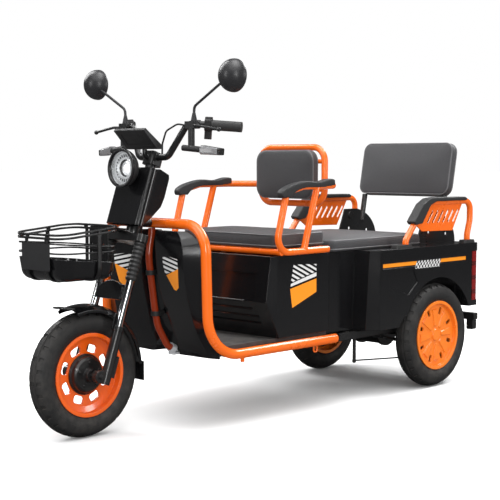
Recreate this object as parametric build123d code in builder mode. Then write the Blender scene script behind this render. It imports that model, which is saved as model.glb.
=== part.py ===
from build123d import *
import math
import os

# Electric leisure tricycle, in millimetres.
# +Z is up, the front faces -Y and the vehicle's left side is +X.
# The origin is on the ground, midway between the two sides and between the front tyre and the rear bumper.

os.makedirs("parts", exist_ok=True)

# ---------------------------------------------------------------- driving dimensions
SEAT = 0.3                 # gap where two separately made pieces sit against each other
RUN_FIT = 0.05             # radial play of a shaft in its bore
CLEAR = 2.0                # gap between fixed pieces that only pass each other

WHEEL_BASE = 1500.0
FRONT_AXLE_Y = -800.0
REAR_AXLE_Y = FRONT_AXLE_Y + WHEEL_BASE
TYRE_R = 203.0
TYRE_HALF = 38.0
BEAD_R = 128.0
FLANGE_R = 135.0
REAR_TRACK_HALF = 283.0

RAKE = 19.3                # lean of the steering axis from the vertical, in degrees
AXIS_Y = -686.0            # where the steering axis passes at AXIS_Z
AXIS_Z = 370.0
FORK_HALF = 75.0           # sideways distance of each leg from the middle
FORK_OFFSET = 23.0         # legs ahead of the steering axis
STANCHION_R = 13.5
STEM_R = 17.0
HEAD_TUBE_R = 26.0
CROWN_LOW = 256.0          # heights along the steering axis
CROWN_TOP = 282.0
HEAD_LOW = 288.0
HEAD_TOP = 500.0

RAIL_R = 17.0              # side hoops and lower side rails
HOOP_X = 250.0             # middle of the hoop's tube at the top
HOOP_FOOT_X = 256.0        # where its upright meets the rail
RAIL_X = 262.0             # rear end of the rail
RAIL_END_Y = 138.0
RAIL_Z = 245.0
HOOP_Y = -500.0
HOOP_FOOT_Y = -492.0
HOOP_TOP_Z = 677.0
HOOP_BEND = 90.0
FOOT_BEND = 140.0
LADDER_R = 15.0            # frame under the floor
LADDER_X = 150.0
LADDER_Z = 243.0
CROSS_R = 13.0
FLOOR_Z = LADDER_Z + LADDER_R + SEAT
FLOOR_THICK = 14.0

SEAT_HALF = 250.0          # rider's seat box
SEAT_BASE_Z = FLOOR_Z + FLOOR_THICK + SEAT
SEAT_TOP_Z = 558.0
SEAT_REAR_Y = 116.0
WALL = 10.0

BOX_HALF = 320.0           # load box
BOX_FRONT_Y = 297.0
BOX_REAR_Y = REAR_AXLE_Y + 262.0
BOX_TOP_Z = 555.0
BOX_LOW_Z = 300.0
NECK_HALF = 220.0
NECK_FRONT_Y = SEAT_REAR_Y + 10.0
NECK_LOW_Z = FLOOR_Z
ARCH_R = TYRE_R + 25.0
ARCH_X = REAR_TRACK_HALF - TYRE_HALF - 9.0
DECK_Y = REAR_AXLE_Y - 16.0    # rear end of the opening under the rear cushion
GATE_HALF = 220.0
GATE_Z = 430.0
GATE_HEIGHT = 210.0

ARM_X = SEAT_HALF + 10.0   # rider's armrests
ARM_R = 12.0
REAR_ARM_X = BOX_HALF - 22.0

# ---------------------------------------------------------------- working planes
steer = Plane(
    origin=(0, AXIS_Y, AXIS_Z),
    x_dir=(1, 0, 0),
    z_dir=(0, math.sin(math.radians(RAKE)), math.cos(math.radians(RAKE))),
)


def on_axis(x, back, up):
    """A point given by its distance behind the steering axis and its height along it."""
    return steer.from_local_coords(Vector(x, back, up))


def axis_y(z):
    """Where the steering axis passes at height z."""
    return AXIS_Y + (z - AXIS_Z) * math.tan(math.radians(RAKE))


def side_plane(x):
    """A plane across the vehicle at x: local x runs to the rear and local y runs up."""
    return Plane(origin=(x, 0, 0), x_dir=(0, 1, 0), z_dir=(1, 0, 0))


def wheel_plane(x, y):
    """A plane through a wheel's axle: local x runs along the axle and local y runs up."""
    return Plane(origin=(x, y, TYRE_R), x_dir=(1, 0, 0), z_dir=(0, -1, 0))


def front_plane(y, z=0.0):
    """An upright plane facing the front."""
    return Plane(origin=(0, y, z), x_dir=(1, 0, 0), z_dir=(0, -1, 0))


def pipe(points, bend, radius, mode=Mode.ADD):
    """Add a bent round tube to the part being made."""
    with BuildLine() as route:
        FilletPolyline(*points, radius=bend)
    with BuildSketch(Plane(origin=route.line @ 0, z_dir=route.line % 0)) as section:
        Circle(radius)
    sweep(sections=section.sketch, path=route.line, mode=mode)


def rod(start, end, radius, mode=Mode.ADD):
    """Add a straight round rod between two points to the part being made."""
    run = Vector(*end) - Vector(*start)
    with BuildSketch(Plane(origin=start, z_dir=run)) as section:
        Circle(radius)
    extrude(section.sketch, amount=run.length, mode=mode)


def outline(*points):
    """Fill a closed outline through the points in the sketch being made."""
    with BuildLine() as edge:
        Polyline(*points, close=True)
    make_face(edge.edges())


def save(piece, label):
    """Label a finished piece and write its file."""
    piece.part.label = label
    export_step(piece.part, f"parts/{label}.step")


# ---------------------------------------------------------------- wheels
RIM_WALL = 5.0
HUB_R = 60.0
DISC_X = 5.0               # outer face of the front wheel's disc from its middle plane
DISC_THICK = 6.0
SLOT_COUNT = 8
FRONT_SLOT_R = 84.0
REAR_SLOT_R = 97.0
FIRST_SLOT = 26.0          # angle of the first slot, in degrees


def tyre_section(half):
    """Half-round tread over upright side walls, standing on the bead."""
    with BuildLine() as edge:
        Polyline(
            (9 - half, FLANGE_R + 1), (9 - half, BEAD_R), (half - 9, BEAD_R), (half - 9, FLANGE_R + 1)
        )
        ThreePointArc((half - 9, FLANGE_R + 1), (half, BEAD_R + 36), (half - 7, TYRE_R - 13))
        ThreePointArc((half - 7, TYRE_R - 13), (0, TYRE_R), (7 - half, TYRE_R - 13))
        ThreePointArc((7 - half, TYRE_R - 13), (-half, BEAD_R + 36), (9 - half, FLANGE_R + 1))
    make_face(edge.edges())


def rim_section(half):
    """Barrel between two flanges, under the tyre's beads."""
    bead = half - 9 + SEAT
    flange = bead + RIM_WALL
    seat_r = BEAD_R - SEAT
    outline(
        (-flange, FLANGE_R),
        (-bead, FLANGE_R),
        (-bead, seat_r),
        (bead, seat_r),
        (bead, FLANGE_R),
        (flange, FLANGE_R),
        (flange, seat_r - RIM_WALL),
        (-flange, seat_r - RIM_WALL),
    )


axle_line = Axis((0, FRONT_AXLE_Y, TYRE_R), (1, 0, 0))
disc_face = Plane(origin=(DISC_X + 1, FRONT_AXLE_Y, TYRE_R), x_dir=(0, 1, 0), z_dir=(1, 0, 0))

with BuildPart() as front_tyre:
    with BuildSketch(wheel_plane(0, FRONT_AXLE_Y)):
        tyre_section(TYRE_HALF)
    revolve(axis=axle_line)
save(front_tyre, "front_tyre")

with BuildPart() as front_rim:
    with BuildSketch(wheel_plane(0, FRONT_AXLE_Y)):
        rim_section(TYRE_HALF)
        outline(
            (DISC_X, HUB_R + SEAT),
            (DISC_X, FRONT_SLOT_R - 16),
            (DISC_X + 3, FRONT_SLOT_R + 20),
            (DISC_X + 8, BEAD_R - 2),
            (DISC_X, BEAD_R - 2),
            (DISC_X - DISC_THICK, FRONT_SLOT_R + 20),
            (DISC_X - DISC_THICK, HUB_R + SEAT),
        )
    revolve(axis=axle_line)
    with BuildSketch(disc_face.offset(4)):
        with PolarLocations(FRONT_SLOT_R, SLOT_COUNT, start_angle=FIRST_SLOT):
            RectangleRounded(25, 40, 9)
    extrude(amount=-3 * DISC_THICK, mode=Mode.SUBTRACT)
save(front_rim, "front_rim")

AXLE_R = 7.0
HUB_HALF = 44.0
HUB_FACE_X = 30.0
HUB_BOLTS = 5

with BuildPart() as front_hub:
    with BuildSketch(wheel_plane(0, FRONT_AXLE_Y)):
        outline(
            (-HUB_HALF, AXLE_R + RUN_FIT),
            (-HUB_HALF, 20),
            (-26, 24),
            (-26, 46),
            (-14, HUB_R),
            (DISC_X + SEAT, HUB_R),
            (DISC_X + SEAT, HUB_R + 6),
            (DISC_X + 5, HUB_R + 6),
            (DISC_X + 8, HUB_R),
            (HUB_FACE_X - 6, HUB_R - 2),
            (HUB_FACE_X, HUB_R - 9),
            (HUB_FACE_X, 24),
            (HUB_HALF, 20),
            (HUB_HALF, AXLE_R + RUN_FIT),
        )
    revolve(axis=axle_line)
    with BuildSketch(disc_face.offset(HUB_FACE_X - DISC_X - 2)):
        with PolarLocations(40, HUB_BOLTS, start_angle=90):
            Circle(4)
    extrude(amount=5)
save(front_hub, "front_hub")

STUB_R = 11.0
REAR_COVER_X = 20.0
REAR_HUB_INNER = -30.0
REAR_HUB_R = 30.0


def make_rear_wheel(side, name):
    """One rear tyre and its rim with a pressed cover; side is 1 on the left and -1 on the right."""
    x = side * REAR_TRACK_HALF
    axle = Axis((0, REAR_AXLE_Y, TYRE_R), (1, 0, 0))
    plane = wheel_plane(x, REAR_AXLE_Y)
    face = Plane(
        origin=(x + side * REAR_COVER_X, REAR_AXLE_Y, TYRE_R),
        x_dir=(0, 1, 0),
        z_dir=(side, 0, 0),
    )
    with BuildPart() as rear_tyre:
        with BuildSketch(plane):
            tyre_section(TYRE_HALF)
        revolve(axis=axle)
    save(rear_tyre, f"rear_tyre_{name}")

    with BuildPart() as rear_rim:
        with BuildSketch(plane):
            rim_section(TYRE_HALF)
            with Locations((side * (REAR_COVER_X - 4), (BEAD_R - RIM_WALL) / 2)):
                Rectangle(8, BEAD_R - RIM_WALL)
            with Locations(
                (side * (REAR_COVER_X + REAR_HUB_INNER) / 2, (STUB_R + RUN_FIT + REAR_HUB_R) / 2)
            ):
                Rectangle(REAR_COVER_X - REAR_HUB_INNER, REAR_HUB_R - STUB_R - RUN_FIT)
        revolve(axis=axle)
        with BuildSketch(face):
            Circle(24)
        extrude(amount=6, taper=20)
        with BuildSketch(face):
            with PolarLocations(68, SLOT_COUNT, start_angle=FIRST_SLOT + 180 / SLOT_COUNT):
                Trapezoid(34, 66, 82, rotation=90)
        extrude(amount=4, taper=20)
        with BuildSketch(face.offset(1)):
            with PolarLocations(REAR_SLOT_R, SLOT_COUNT, start_angle=FIRST_SLOT):
                RectangleRounded(28, 15, 4)
        extrude(amount=-12, mode=Mode.SUBTRACT)
    save(rear_rim, f"rear_rim_{name}")


make_rear_wheel(1, "left")
make_rear_wheel(-1, "right")

# ---------------------------------------------------------------- steering: stem, crown and handlebar
CROWN_R = STEM_R + 10.0
CROWN_HALF = STANCHION_R + 8.0
STEM_TOP = 552.0
BAR_R = 11.0
GRIP_R = 17.0
PERCH_R = 14.0
bar_middle = on_axis(0, 3, 558)
bar_foot = Vector(72, bar_middle.Y, bar_middle.Z)
grip_in = Vector(138, -470, 1006)
grip_out = Vector(284, -375, 993)
along = (grip_out - grip_in).normalized()
PERCH_START = 22.0         # distances along the bar from its last bend
PERCH_END = 42.0
POD_START = 60.0
GRIP_START = 81.0
COWL_LOW_Z = 922.0
COWL_POST_Y = -537.0

with BuildPart() as handlebar:
    with BuildSketch(steer.offset(CROWN_LOW)):
        with Locations((0, -FORK_OFFSET)):
            SlotCenterToCenter(2 * FORK_HALF, 2 * CROWN_HALF)
        Circle(CROWN_R)
        with Locations((FORK_HALF, -FORK_OFFSET), (-FORK_HALF, -FORK_OFFSET)):
            Circle(STANCHION_R + SEAT, mode=Mode.SUBTRACT)
    extrude(amount=CROWN_TOP - CROWN_LOW)
    with BuildSketch(steer.offset(CROWN_TOP - 4)):
        Circle(STEM_R)
    extrude(amount=STEM_TOP - CROWN_TOP + 4)
    with BuildSketch(steer.offset(STEM_TOP - 24)):
        with Locations((0, 3)):
            RectangleRounded(50, 50, 10)
    extrude(amount=46)
    pipe([bar_middle, bar_foot, grip_in, grip_out], [28, 34], BAR_R)
    mirror(about=Plane.YZ)
    pipe(
        [
            (0, bar_middle.Y, bar_middle.Z),
            (0, COWL_POST_Y, bar_middle.Z),
            (0, COWL_POST_Y, COWL_LOW_Z - SEAT),
        ],
        [14],
        8,
    )
save(handlebar, "handlebar")

with BuildPart() as grips:
    with BuildSketch(Plane(origin=grip_in + along * GRIP_START, z_dir=along)):
        Circle(GRIP_R)
        Circle(BAR_R + SEAT, mode=Mode.SUBTRACT)
    extrude(amount=(grip_out - grip_in).length - GRIP_START + SEAT)
    with BuildSketch(Plane(origin=grip_out + along * SEAT, z_dir=along)):
        Circle(GRIP_R)
    extrude(amount=6)
    mirror(about=Plane.YZ)
save(grips, "grips")

# each perch clamps the bar, reaches forward to the lever's pivot and carries a turn signal
PERCH_X = 172.0
PERCH_TOP = 1012.0
PERCH_LOW = 988.0
POD_RISE = 16.0
POD_DROP = 30.0
PERCH_Y = -474.0
BOSS_R = 11.0
CABLE_R = 3.0
FERRULE_X = 148.0
SIGNAL_Y = -487.0
SIGNAL_Z = 923.0
lever_tip = Vector(307, -494, 983)
lens_start = Vector(226, SIGNAL_Y, SIGNAL_Z - 4)
lens_run = Vector(76, 13, -7).normalized()

with BuildPart() as hand_controls:
    with BuildSketch(Plane(origin=grip_in + along * PERCH_START, z_dir=along)):
        Circle(PERCH_R)
    extrude(amount=PERCH_END - PERCH_START)
    with BuildSketch(Plane.XY.offset(PERCH_LOW)):
        outline(
            (grip_in.X + PERCH_START - 2, grip_in.Y + 7),
            (grip_in.X + PERCH_END - 5, grip_in.Y + 16),
            (194, PERCH_Y - 6),
            (188, PERCH_Y - 17),
            (FERRULE_X, PERCH_Y - 20),
            (FERRULE_X, PERCH_Y - 6),
        )
    extrude(amount=PERCH_TOP - PERCH_LOW)
    with BuildSketch(Plane(origin=grip_in + along * POD_START, x_dir=(0, 1, 0), z_dir=along)):
        RectangleRounded(38, 40, 9)
        with Locations((0, POD_RISE)):
            RectangleRounded(24, 20, 4)
        with Locations((0, -POD_DROP)):
            RectangleRounded(20, 34, 4)
    extrude(amount=GRIP_START - POD_START - SEAT)
    rod(grip_in, grip_in + along * 2 * GRIP_START, BAR_R + SEAT, mode=Mode.SUBTRACT)
    pipe(
        [
            (180, PERCH_Y - 8, 998),
            (204, PERCH_Y - 26, 998),
            (248, PERCH_Y - 24, 992),
            lever_tip,
        ],
        [16, 60],
        4.5,
    )
    with Locations(lever_tip):
        Sphere(7.5)
    rod((PERCH_X - 2, SIGNAL_Y + 3, PERCH_LOW + 2), (PERCH_X - 2, SIGNAL_Y + 3, SIGNAL_Z), BOSS_R)
    rod(lens_start - lens_run * 80, lens_start, 10)
    mirror(about=Plane.YZ)
save(hand_controls, "hand_controls")

MIRROR_R = 52.0
mirror_mid = Vector(340, -461, 1152.5)

with BuildPart() as mirrors:
    stem_foot = Vector(PERCH_X, PERCH_Y, PERCH_TOP + SEAT)
    with BuildSketch(Plane(origin=stem_foot)):
        Circle(BOSS_R)
    extrude(amount=27, taper=12)
    pipe(
        [
            stem_foot + Vector(0, 0, 24),
            stem_foot + Vector(2, 0, 48),
            mirror_mid + Vector(-26, -15, -14),
        ],
        [20],
        4.5,
    )
    with BuildSketch(Plane(origin=mirror_mid, x_dir=(1, 0, 0), z_dir=(0, 0, 1))):
        with BuildLine():
            Polyline((0, 6), (MIRROR_R - 3, 6), (MIRROR_R, 2), (MIRROR_R, -3))
            ThreePointArc((MIRROR_R, -3), (38, -19), (0, -26))
            Line((0, -26), (0, 6))
        make_face()
    revolve(axis=Axis(mirror_mid, (0, 1, 0)))
    mirror(about=Plane.YZ)
save(mirrors, "mirrors")

with BuildPart() as signal_lenses:
    with BuildSketch(Plane(origin=lens_start + lens_run * SEAT, x_dir=(0, 1, 0), z_dir=lens_run)):
        RectangleRounded(34, 30, 9)
    extrude(amount=76, taper=3)
    mirror(about=Plane.YZ)
save(signal_lenses, "signal_lenses")

with BuildPart() as instrument_cowl:
    with BuildSketch(side_plane(0)):
        outline(
            (-606, 982),
            (-600, 991),
            (-526, 934),
            (-526, COWL_LOW_Z),
            (-548, COWL_LOW_Z),
        )
        fillet(vertices(), 2.5)
    extrude(amount=76, both=True)
    with BuildSketch(Plane(origin=(0, -577.7, 951.3), x_dir=(1, 0, 0), z_dir=(0, -0.719, -0.695))):
        outline((-54, 24), (54, 24), (58, -24), (-58, -24))
    extrude(amount=-2.5, mode=Mode.SUBTRACT)
save(instrument_cowl, "instrument_cowl")

with BuildPart() as brake_cables:
    pipe(
        [
            (FERRULE_X - 1.4, PERCH_Y - 12, 999),
            (116, PERCH_Y - 22, 1004),
            (72, -506, 982),
            (50, -503, 940),
            (44, bar_middle.Y, bar_middle.Z + BAR_R + SEAT),
        ],
        [26, 30, 30],
        CABLE_R,
    )
    mirror(about=Plane.YZ)
save(brake_cables, "brake_cables")

# ---------------------------------------------------------------- fork and front mudguard
SLIDER_R = STANCHION_R + 3.5
SLIDER_TOP = -24.0
SLIDER_LOW = -214.0
GAITER_LOW = 128.0
GAITER_R = STANCHION_R + 6.0
GAITER_FOLDS = 9
FENDER_R = TYRE_R + 20.0
FENDER_HALF = TYRE_HALF + 12.0
FENDER_WALL = 3.0
FENDER_FRONT = math.radians(16)    # front end ahead of the top of the wheel
FENDER_ARC = 103.0
FENDER_Y = FRONT_AXLE_Y - 5.0     # the mudguard's arc sits a little ahead of the axle and above it
FENDER_Z = TYRE_R + 4.0
TONGUE_LENGTH = 30.0
FLAP_LOW_Z = 159.0

with BuildPart() as fork_stanchions:
    with BuildSketch(steer.offset(SLIDER_TOP + SEAT)):
        with Locations((FORK_HALF, -FORK_OFFSET)):
            Circle(STANCHION_R)
    extrude(amount=CROWN_TOP - SLIDER_TOP - SEAT)
    mirror(about=Plane.YZ)
save(fork_stanchions, "fork_stanchions")

with BuildPart() as fork_sliders:
    with BuildSketch(steer.offset(SLIDER_LOW)):
        with Locations((FORK_HALF, -FORK_OFFSET)):
            Circle(SLIDER_R)
    extrude(amount=SLIDER_TOP - SLIDER_LOW)
    with BuildSketch(steer.offset(SLIDER_TOP - 16)):
        with Locations((FORK_HALF, -FORK_OFFSET)):
            Circle(SLIDER_R + 2)
    extrude(amount=16)
    with BuildSketch(steer.offset(SLIDER_LOW + 26)):
        with Locations((FORK_HALF, 5 - FORK_OFFSET + SLIDER_R)):
            RectangleRounded(14, 16, 3)
    extrude(amount=70)
    with BuildSketch(side_plane(FORK_HALF - 12)):
        with Locations((FRONT_AXLE_Y, TYRE_R)):
            Circle(20)
        with Locations((FRONT_AXLE_Y + 15, TYRE_R)):
            Rectangle(30, 34)
    extrude(amount=24)
    stay = Plane(
        origin=on_axis(FENDER_HALF + SEAT, -FORK_OFFSET, SLIDER_TOP + 12),
        x_dir=steer.y_dir,
        z_dir=(1, 0, 0),
    )
    with BuildSketch(stay):
        RectangleRounded(18, 56, 6)
    extrude(amount=4)
    with BuildSketch(stay):
        with Locations((0, -20)):
            Circle(7)
    extrude(amount=FORK_HALF - FENDER_HALF - SLIDER_R + 2)
    mirror(about=Plane.YZ)
    rod((-FORK_HALF - 20, FRONT_AXLE_Y, TYRE_R), (FORK_HALF + 20, FRONT_AXLE_Y, TYRE_R), AXLE_R)
save(fork_sliders, "fork_sliders")

leg = Plane(origin=on_axis(FORK_HALF, -FORK_OFFSET, 0), x_dir=(1, 0, 0), z_dir=(-steer.y_dir))
with BuildPart() as fork_gaiters:
    fold = (CROWN_LOW - SEAT - GAITER_LOW) / GAITER_FOLDS
    with BuildSketch(leg):
        with BuildLine():
            bore = STANCHION_R + SEAT
            points = [(bore, GAITER_LOW)]
            for index in range(GAITER_FOLDS):
                low = GAITER_LOW + index * fold
                points.append((GAITER_R - 2.5, low))
                points.append((GAITER_R, low + fold / 2))
            points.append((GAITER_R - 2.5, CROWN_LOW - SEAT))
            points.append((bore, CROWN_LOW - SEAT))
            Polyline(*points, close=True)
        make_face()
    revolve(axis=Axis(leg.origin, leg.y_dir))
    mirror(about=Plane.YZ)
save(fork_gaiters, "fork_gaiters")

fender_start = Plane(
    origin=(0, FENDER_Y, FENDER_Z),
    x_dir=(1, 0, 0),
    z_dir=(0, -math.cos(FENDER_FRONT), -math.sin(FENDER_FRONT)),
)
FENDER_LIP = TYRE_R - 6.0
FENDER_SIDE = TYRE_R + 4.0

with BuildPart() as front_fender:
    with BuildSketch(fender_start):
        with BuildLine():
            inner = FENDER_HALF - FENDER_WALL
            Polyline((-FENDER_HALF, FENDER_LIP), (-FENDER_HALF, FENDER_SIDE))
            ThreePointArc((-FENDER_HALF, FENDER_SIDE), (0, FENDER_R), (FENDER_HALF, FENDER_SIDE))
            Polyline((FENDER_HALF, FENDER_SIDE), (FENDER_HALF, FENDER_LIP), (inner, FENDER_LIP))
            Line((inner, FENDER_LIP), (inner, FENDER_SIDE))
            ThreePointArc((inner, FENDER_SIDE), (0, FENDER_R - FENDER_WALL), (-inner, FENDER_SIDE))
            Polyline((-inner, FENDER_SIDE), (-inner, FENDER_LIP), (-FENDER_HALF, FENDER_LIP))
        make_face()
    revolve(axis=Axis((0, FENDER_Y, FENDER_Z), (-1, 0, 0)), revolution_arc=FENDER_ARC)
    # flat tongue on the front end, and a flap below the rear end
    tip = fender_start.from_local_coords((0, FENDER_R - FENDER_WALL, 0))
    with BuildSketch(Plane.XY.offset(tip.Z)):
        with Locations((0, tip.Y + 4 - TONGUE_LENGTH / 2)):
            RectangleRounded(2 * FENDER_HALF - 6, TONGUE_LENGTH, 12)
    extrude(amount=FENDER_WALL + 1)
    with BuildSketch(Plane.XY.offset(FLAP_LOW_Z)):
        with Locations((0, FENDER_Y + FENDER_R - FENDER_WALL / 2)):
            Rectangle(2 * TYRE_HALF + 8, FENDER_WALL)
    extrude(amount=FENDER_Z + 16 - FLAP_LOW_Z)
save(front_fender, "front_fender")

# a round-topped plate in front of the fork, on a bridge between the legs
COVER_LOW = 60.0
COVER_TOP = 122.0
COVER_HALF = 60.0
COVER_FRONT = -FORK_OFFSET - STANCHION_R - 1.0

with BuildPart() as fork_cover:
    with BuildSketch(steer.offset(COVER_LOW + 6)):
        with Locations((0, -FORK_OFFSET)):
            Rectangle(2 * (FORK_HALF - STANCHION_R - SEAT), 16)
    extrude(amount=46)
    with BuildSketch(Plane(origin=on_axis(0, COVER_FRONT, 0), x_dir=(1, 0, 0), z_dir=-steer.y_dir)):
        with BuildLine():
            Polyline((-COVER_HALF, 98), (-COVER_HALF, COVER_LOW), (COVER_HALF, COVER_LOW), (COVER_HALF, 98))
            ThreePointArc((COVER_HALF, 98), (0, COVER_TOP), (-COVER_HALF, 98))
        make_face()
    extrude(amount=-8)
save(fork_cover, "fork_cover")

# ---------------------------------------------------------------- chassis frame
CROSS_Y = (-370.0, -250.0, -110.0, 100.0)
SPRING_HALF = 225.0
SPRING_X = 195.0
SPRING_WIDTH = 40.0
SILL_X = 240.0             # outer face of the load box's side sills
SILL_THICK = 18.0
SILL_LOW_Z = 224.0
SILL_TOP_Z = 254.0
SILL_FRONT_Y = 190.0
SILL_REAR_Y = REAR_AXLE_Y - 124.0
BUMPER_Y = REAR_AXLE_Y + 274.7
PLATE_Y = -738.2           # basket bracket plate, middle of its thickness
PLATE_THICK = 5.0
PLATE_LOW_Z = 530.0
STRUT_R = 13.0
ARM_SLOPE = 95.0           # length of the arm over the fork crown, before it runs level
ARM_THICK = 5.0
arm_low = HEAD_LOW - ARM_THICK - SEAT
arm_bend = on_axis(0, -ARM_SLOPE, arm_low)
plate_top_z = arm_bend.Z + ARM_THICK + 2


def hoop_x(z):
    """Middle of the hoop's upright at height z."""
    return HOOP_X + (HOOP_FOOT_X - HOOP_X) * (HOOP_TOP_Z - z) / (HOOP_TOP_Z - RAIL_Z)


def rail_inner(y):
    """Where a cross tube of the floor frame meets the side rail."""
    share = (y - HOOP_FOOT_Y) / (RAIL_END_Y - HOOP_FOOT_Y)
    return HOOP_FOOT_X + (RAIL_X - HOOP_FOOT_X) * share - RAIL_R - SEAT


with BuildPart() as main_frame:
    with BuildSketch(steer.offset(HEAD_LOW)):
        Circle(HEAD_TUBE_R)
    extrude(amount=HEAD_TOP - HEAD_LOW)
    rod((0, axis_y(HOOP_TOP_Z), HOOP_TOP_Z), (0, HOOP_Y - RAIL_R - SEAT, HOOP_TOP_Z), STRUT_R)
    with BuildSketch(steer.offset(HEAD_LOW - 5)):
        Circle(STEM_R + RUN_FIT)
    extrude(amount=HEAD_TOP - HEAD_LOW + 20, mode=Mode.SUBTRACT)
save(main_frame, "main_frame")

with BuildPart() as basket_bracket:
    with BuildSketch(steer.offset(arm_low)):
        Circle(HEAD_TUBE_R)
        with Locations((0, -ARM_SLOPE / 2)):
            Rectangle(44, ARM_SLOPE)
        Circle(STEM_R + CLEAR, mode=Mode.SUBTRACT)
    extrude(amount=ARM_THICK)
    with BuildSketch(Plane.XY.offset(arm_bend.Z)):
        with Locations((0, (PLATE_Y + arm_bend.Y + 6) / 2)):
            Rectangle(44, arm_bend.Y + 6 - PLATE_Y)
    extrude(amount=ARM_THICK)
    with BuildSketch(front_plane(PLATE_Y, (plate_top_z + PLATE_LOW_Z) / 2)):
        RectangleRounded(80, plate_top_z - PLATE_LOW_Z, 12)
        with GridLocations(56, 26, 2, 2):
            Circle(4, mode=Mode.SUBTRACT)
    extrude(amount=PLATE_THICK / 2, both=True)
save(basket_bracket, "basket_bracket")

with BuildPart() as floor_frame:
    for x in (LADDER_X, -LADDER_X):
        rod((x, -395, LADDER_Z), (x, BUMPER_Y, LADDER_Z), LADDER_R)
    for y in CROSS_Y:
        rod((-rail_inner(y), y, LADDER_Z), (rail_inner(y), y, LADDER_Z), CROSS_R)
    cross_half = SILL_X - SILL_THICK + 4
    for y in (REAR_AXLE_Y - SPRING_HALF, REAR_AXLE_Y + SPRING_HALF):
        rod((-cross_half, y, LADDER_Z), (cross_half, y, LADDER_Z), CROSS_R)
    for side in (1, -1):
        with BuildSketch(front_plane(SILL_FRONT_Y, (SILL_LOW_Z + SILL_TOP_Z) / 2)):
            with Locations((side * (SILL_X - SILL_THICK / 2), 0)):
                RectangleRounded(SILL_THICK, SILL_TOP_Z - SILL_LOW_Z, 4)
        extrude(amount=SILL_FRONT_Y - SILL_REAR_Y)
    rod((-SILL_X + 4, SILL_FRONT_Y + 60, LADDER_Z), (SILL_X - 4, SILL_FRONT_Y + 60, LADDER_Z), CROSS_R)
save(floor_frame, "floor_frame")


def make_hoop(side, name):
    """One side hoop, from the column round the leg shield and back as the lower side rail."""
    with BuildPart() as hoop:
        pipe(
            [
                (0, HOOP_Y, HOOP_TOP_Z),
                (side * HOOP_X, HOOP_Y, HOOP_TOP_Z),
                (side * HOOP_FOOT_X, HOOP_FOOT_Y, RAIL_Z),
                (side * RAIL_X, RAIL_END_Y, RAIL_Z),
            ],
            [HOOP_BEND, FOOT_BEND],
            RAIL_R,
        )
        # tie-down loop and foot stop under the rail
        loop_x = side * (RAIL_X - 2)
        pipe(
            [
                (loop_x, 22, RAIL_Z - RAIL_R + 3),
                (loop_x, 22, RAIL_Z - RAIL_R - 20),
                (loop_x, 40, RAIL_Z - RAIL_R - 20),
                (loop_x, 40, RAIL_Z - RAIL_R + 3),
            ],
            [7, 7],
            3,
        )
        stop_x = side * (HOOP_FOOT_X + 1)
        rod((stop_x, -336, RAIL_Z - RAIL_R + 3), (stop_x, -336, RAIL_Z - RAIL_R - 12), 7)
    save(hoop, f"hoop_{name}")


make_hoop(1, "left")
make_hoop(-1, "right")

# ---------------------------------------------------------------- centre tube from the hoops to the floor
TUBE_R = 12.0
TUBE_TOP_Z = HOOP_TOP_Z - RAIL_R - SEAT
TUBE_END = Vector(0, -413, 241)
BAND_Z = (510.0, 370.0)
tube_route = [
    (0, HOOP_Y - 8, TUBE_TOP_Z),
    (0, HOOP_Y - 8, TUBE_TOP_Z - 18),
    (0, -524, 572),
    (0, -498, 395),
    (0, -484, 326),
    (0, -440, 255),
    TUBE_END,
]

with BuildPart() as centre_tube:
    pipe(tube_route, [50, 200, 200, 90, 40], TUBE_R)
save(centre_tube, "centre_tube")

with BuildPart() as tube_foot:
    foot_run = (Vector(*tube_route[-2]) - TUBE_END).normalized()
    rod(TUBE_END - foot_run * 4, TUBE_END + foot_run * 16, TUBE_R + 4)
    with BuildSketch(Plane.XY.offset(LADDER_Z - CROSS_R - SEAT - 8)):
        with Locations((0, (CROSS_Y[0] + 8 - 424) / 2)):
            RectangleRounded(32, CROSS_Y[0] + 8 + 424, 4)
    extrude(amount=8)
    rod(TUBE_END - foot_run * SEAT, TUBE_END + foot_run * 40, TUBE_R + SEAT, mode=Mode.SUBTRACT)
save(tube_foot, "tube_foot")

# ---------------------------------------------------------------- leg shields
SHIELD_WALL = 4.0
SHIELD_GAP = 1.5
# height, channel floor y, channel half-width inside and at its edge, edge y, crease x and y, outer x and y
shield_rows = (
    (HOOP_TOP_Z - RAIL_R - 5, -492, 25, 38, -521, 150, -531, 178, -512),
    (592, -490, 26, 38, -526, 190, -545, hoop_x(592) - RAIL_R - SHIELD_GAP, -500),
    (BAND_Z[0], -486, 27, 39, -519, 190, -537, hoop_x(510) - RAIL_R - SHIELD_GAP, -498),
    (440, -476, 28, 42, -505, 190, -522, hoop_x(440) - RAIL_R - SHIELD_GAP, -496),
    (BAND_Z[1], -454, 31, 48, -483, 192, -503, hoop_x(370) - RAIL_R - SHIELD_GAP, -492),
    (310, -428, 38, 56, -461, 195, -479, hoop_x(310) - RAIL_R - SHIELD_GAP, -468),
    (270, -402, 42, 56, -442, 198, -456, hoop_x(270) - RAIL_R - SHIELD_GAP, -434),
    (232, -386, 52, 68, -446, 200, -438, hoop_x(232) - RAIL_R - SHIELD_GAP, -427),
)


def shield_section(row):
    """Fill the shield's level section: a channel in the middle and a creased wing at each side."""
    floor_y, floor_x, edge_x, edge_y, crease_x, crease_y, outer_x, outer_y = row
    front = [(floor_x, floor_y), (edge_x, edge_y), (crease_x, crease_y), (outer_x, outer_y)]
    back = [
        (outer_x, outer_y + SHIELD_WALL),
        (crease_x, crease_y + SHIELD_WALL + 1),
        (edge_x + SHIELD_WALL, edge_y + SHIELD_WALL),
        (floor_x + SHIELD_WALL, floor_y + SHIELD_WALL),
    ]
    half = front + back
    outline(*half, *[(-x, y) for x, y in reversed(half)])


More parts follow.
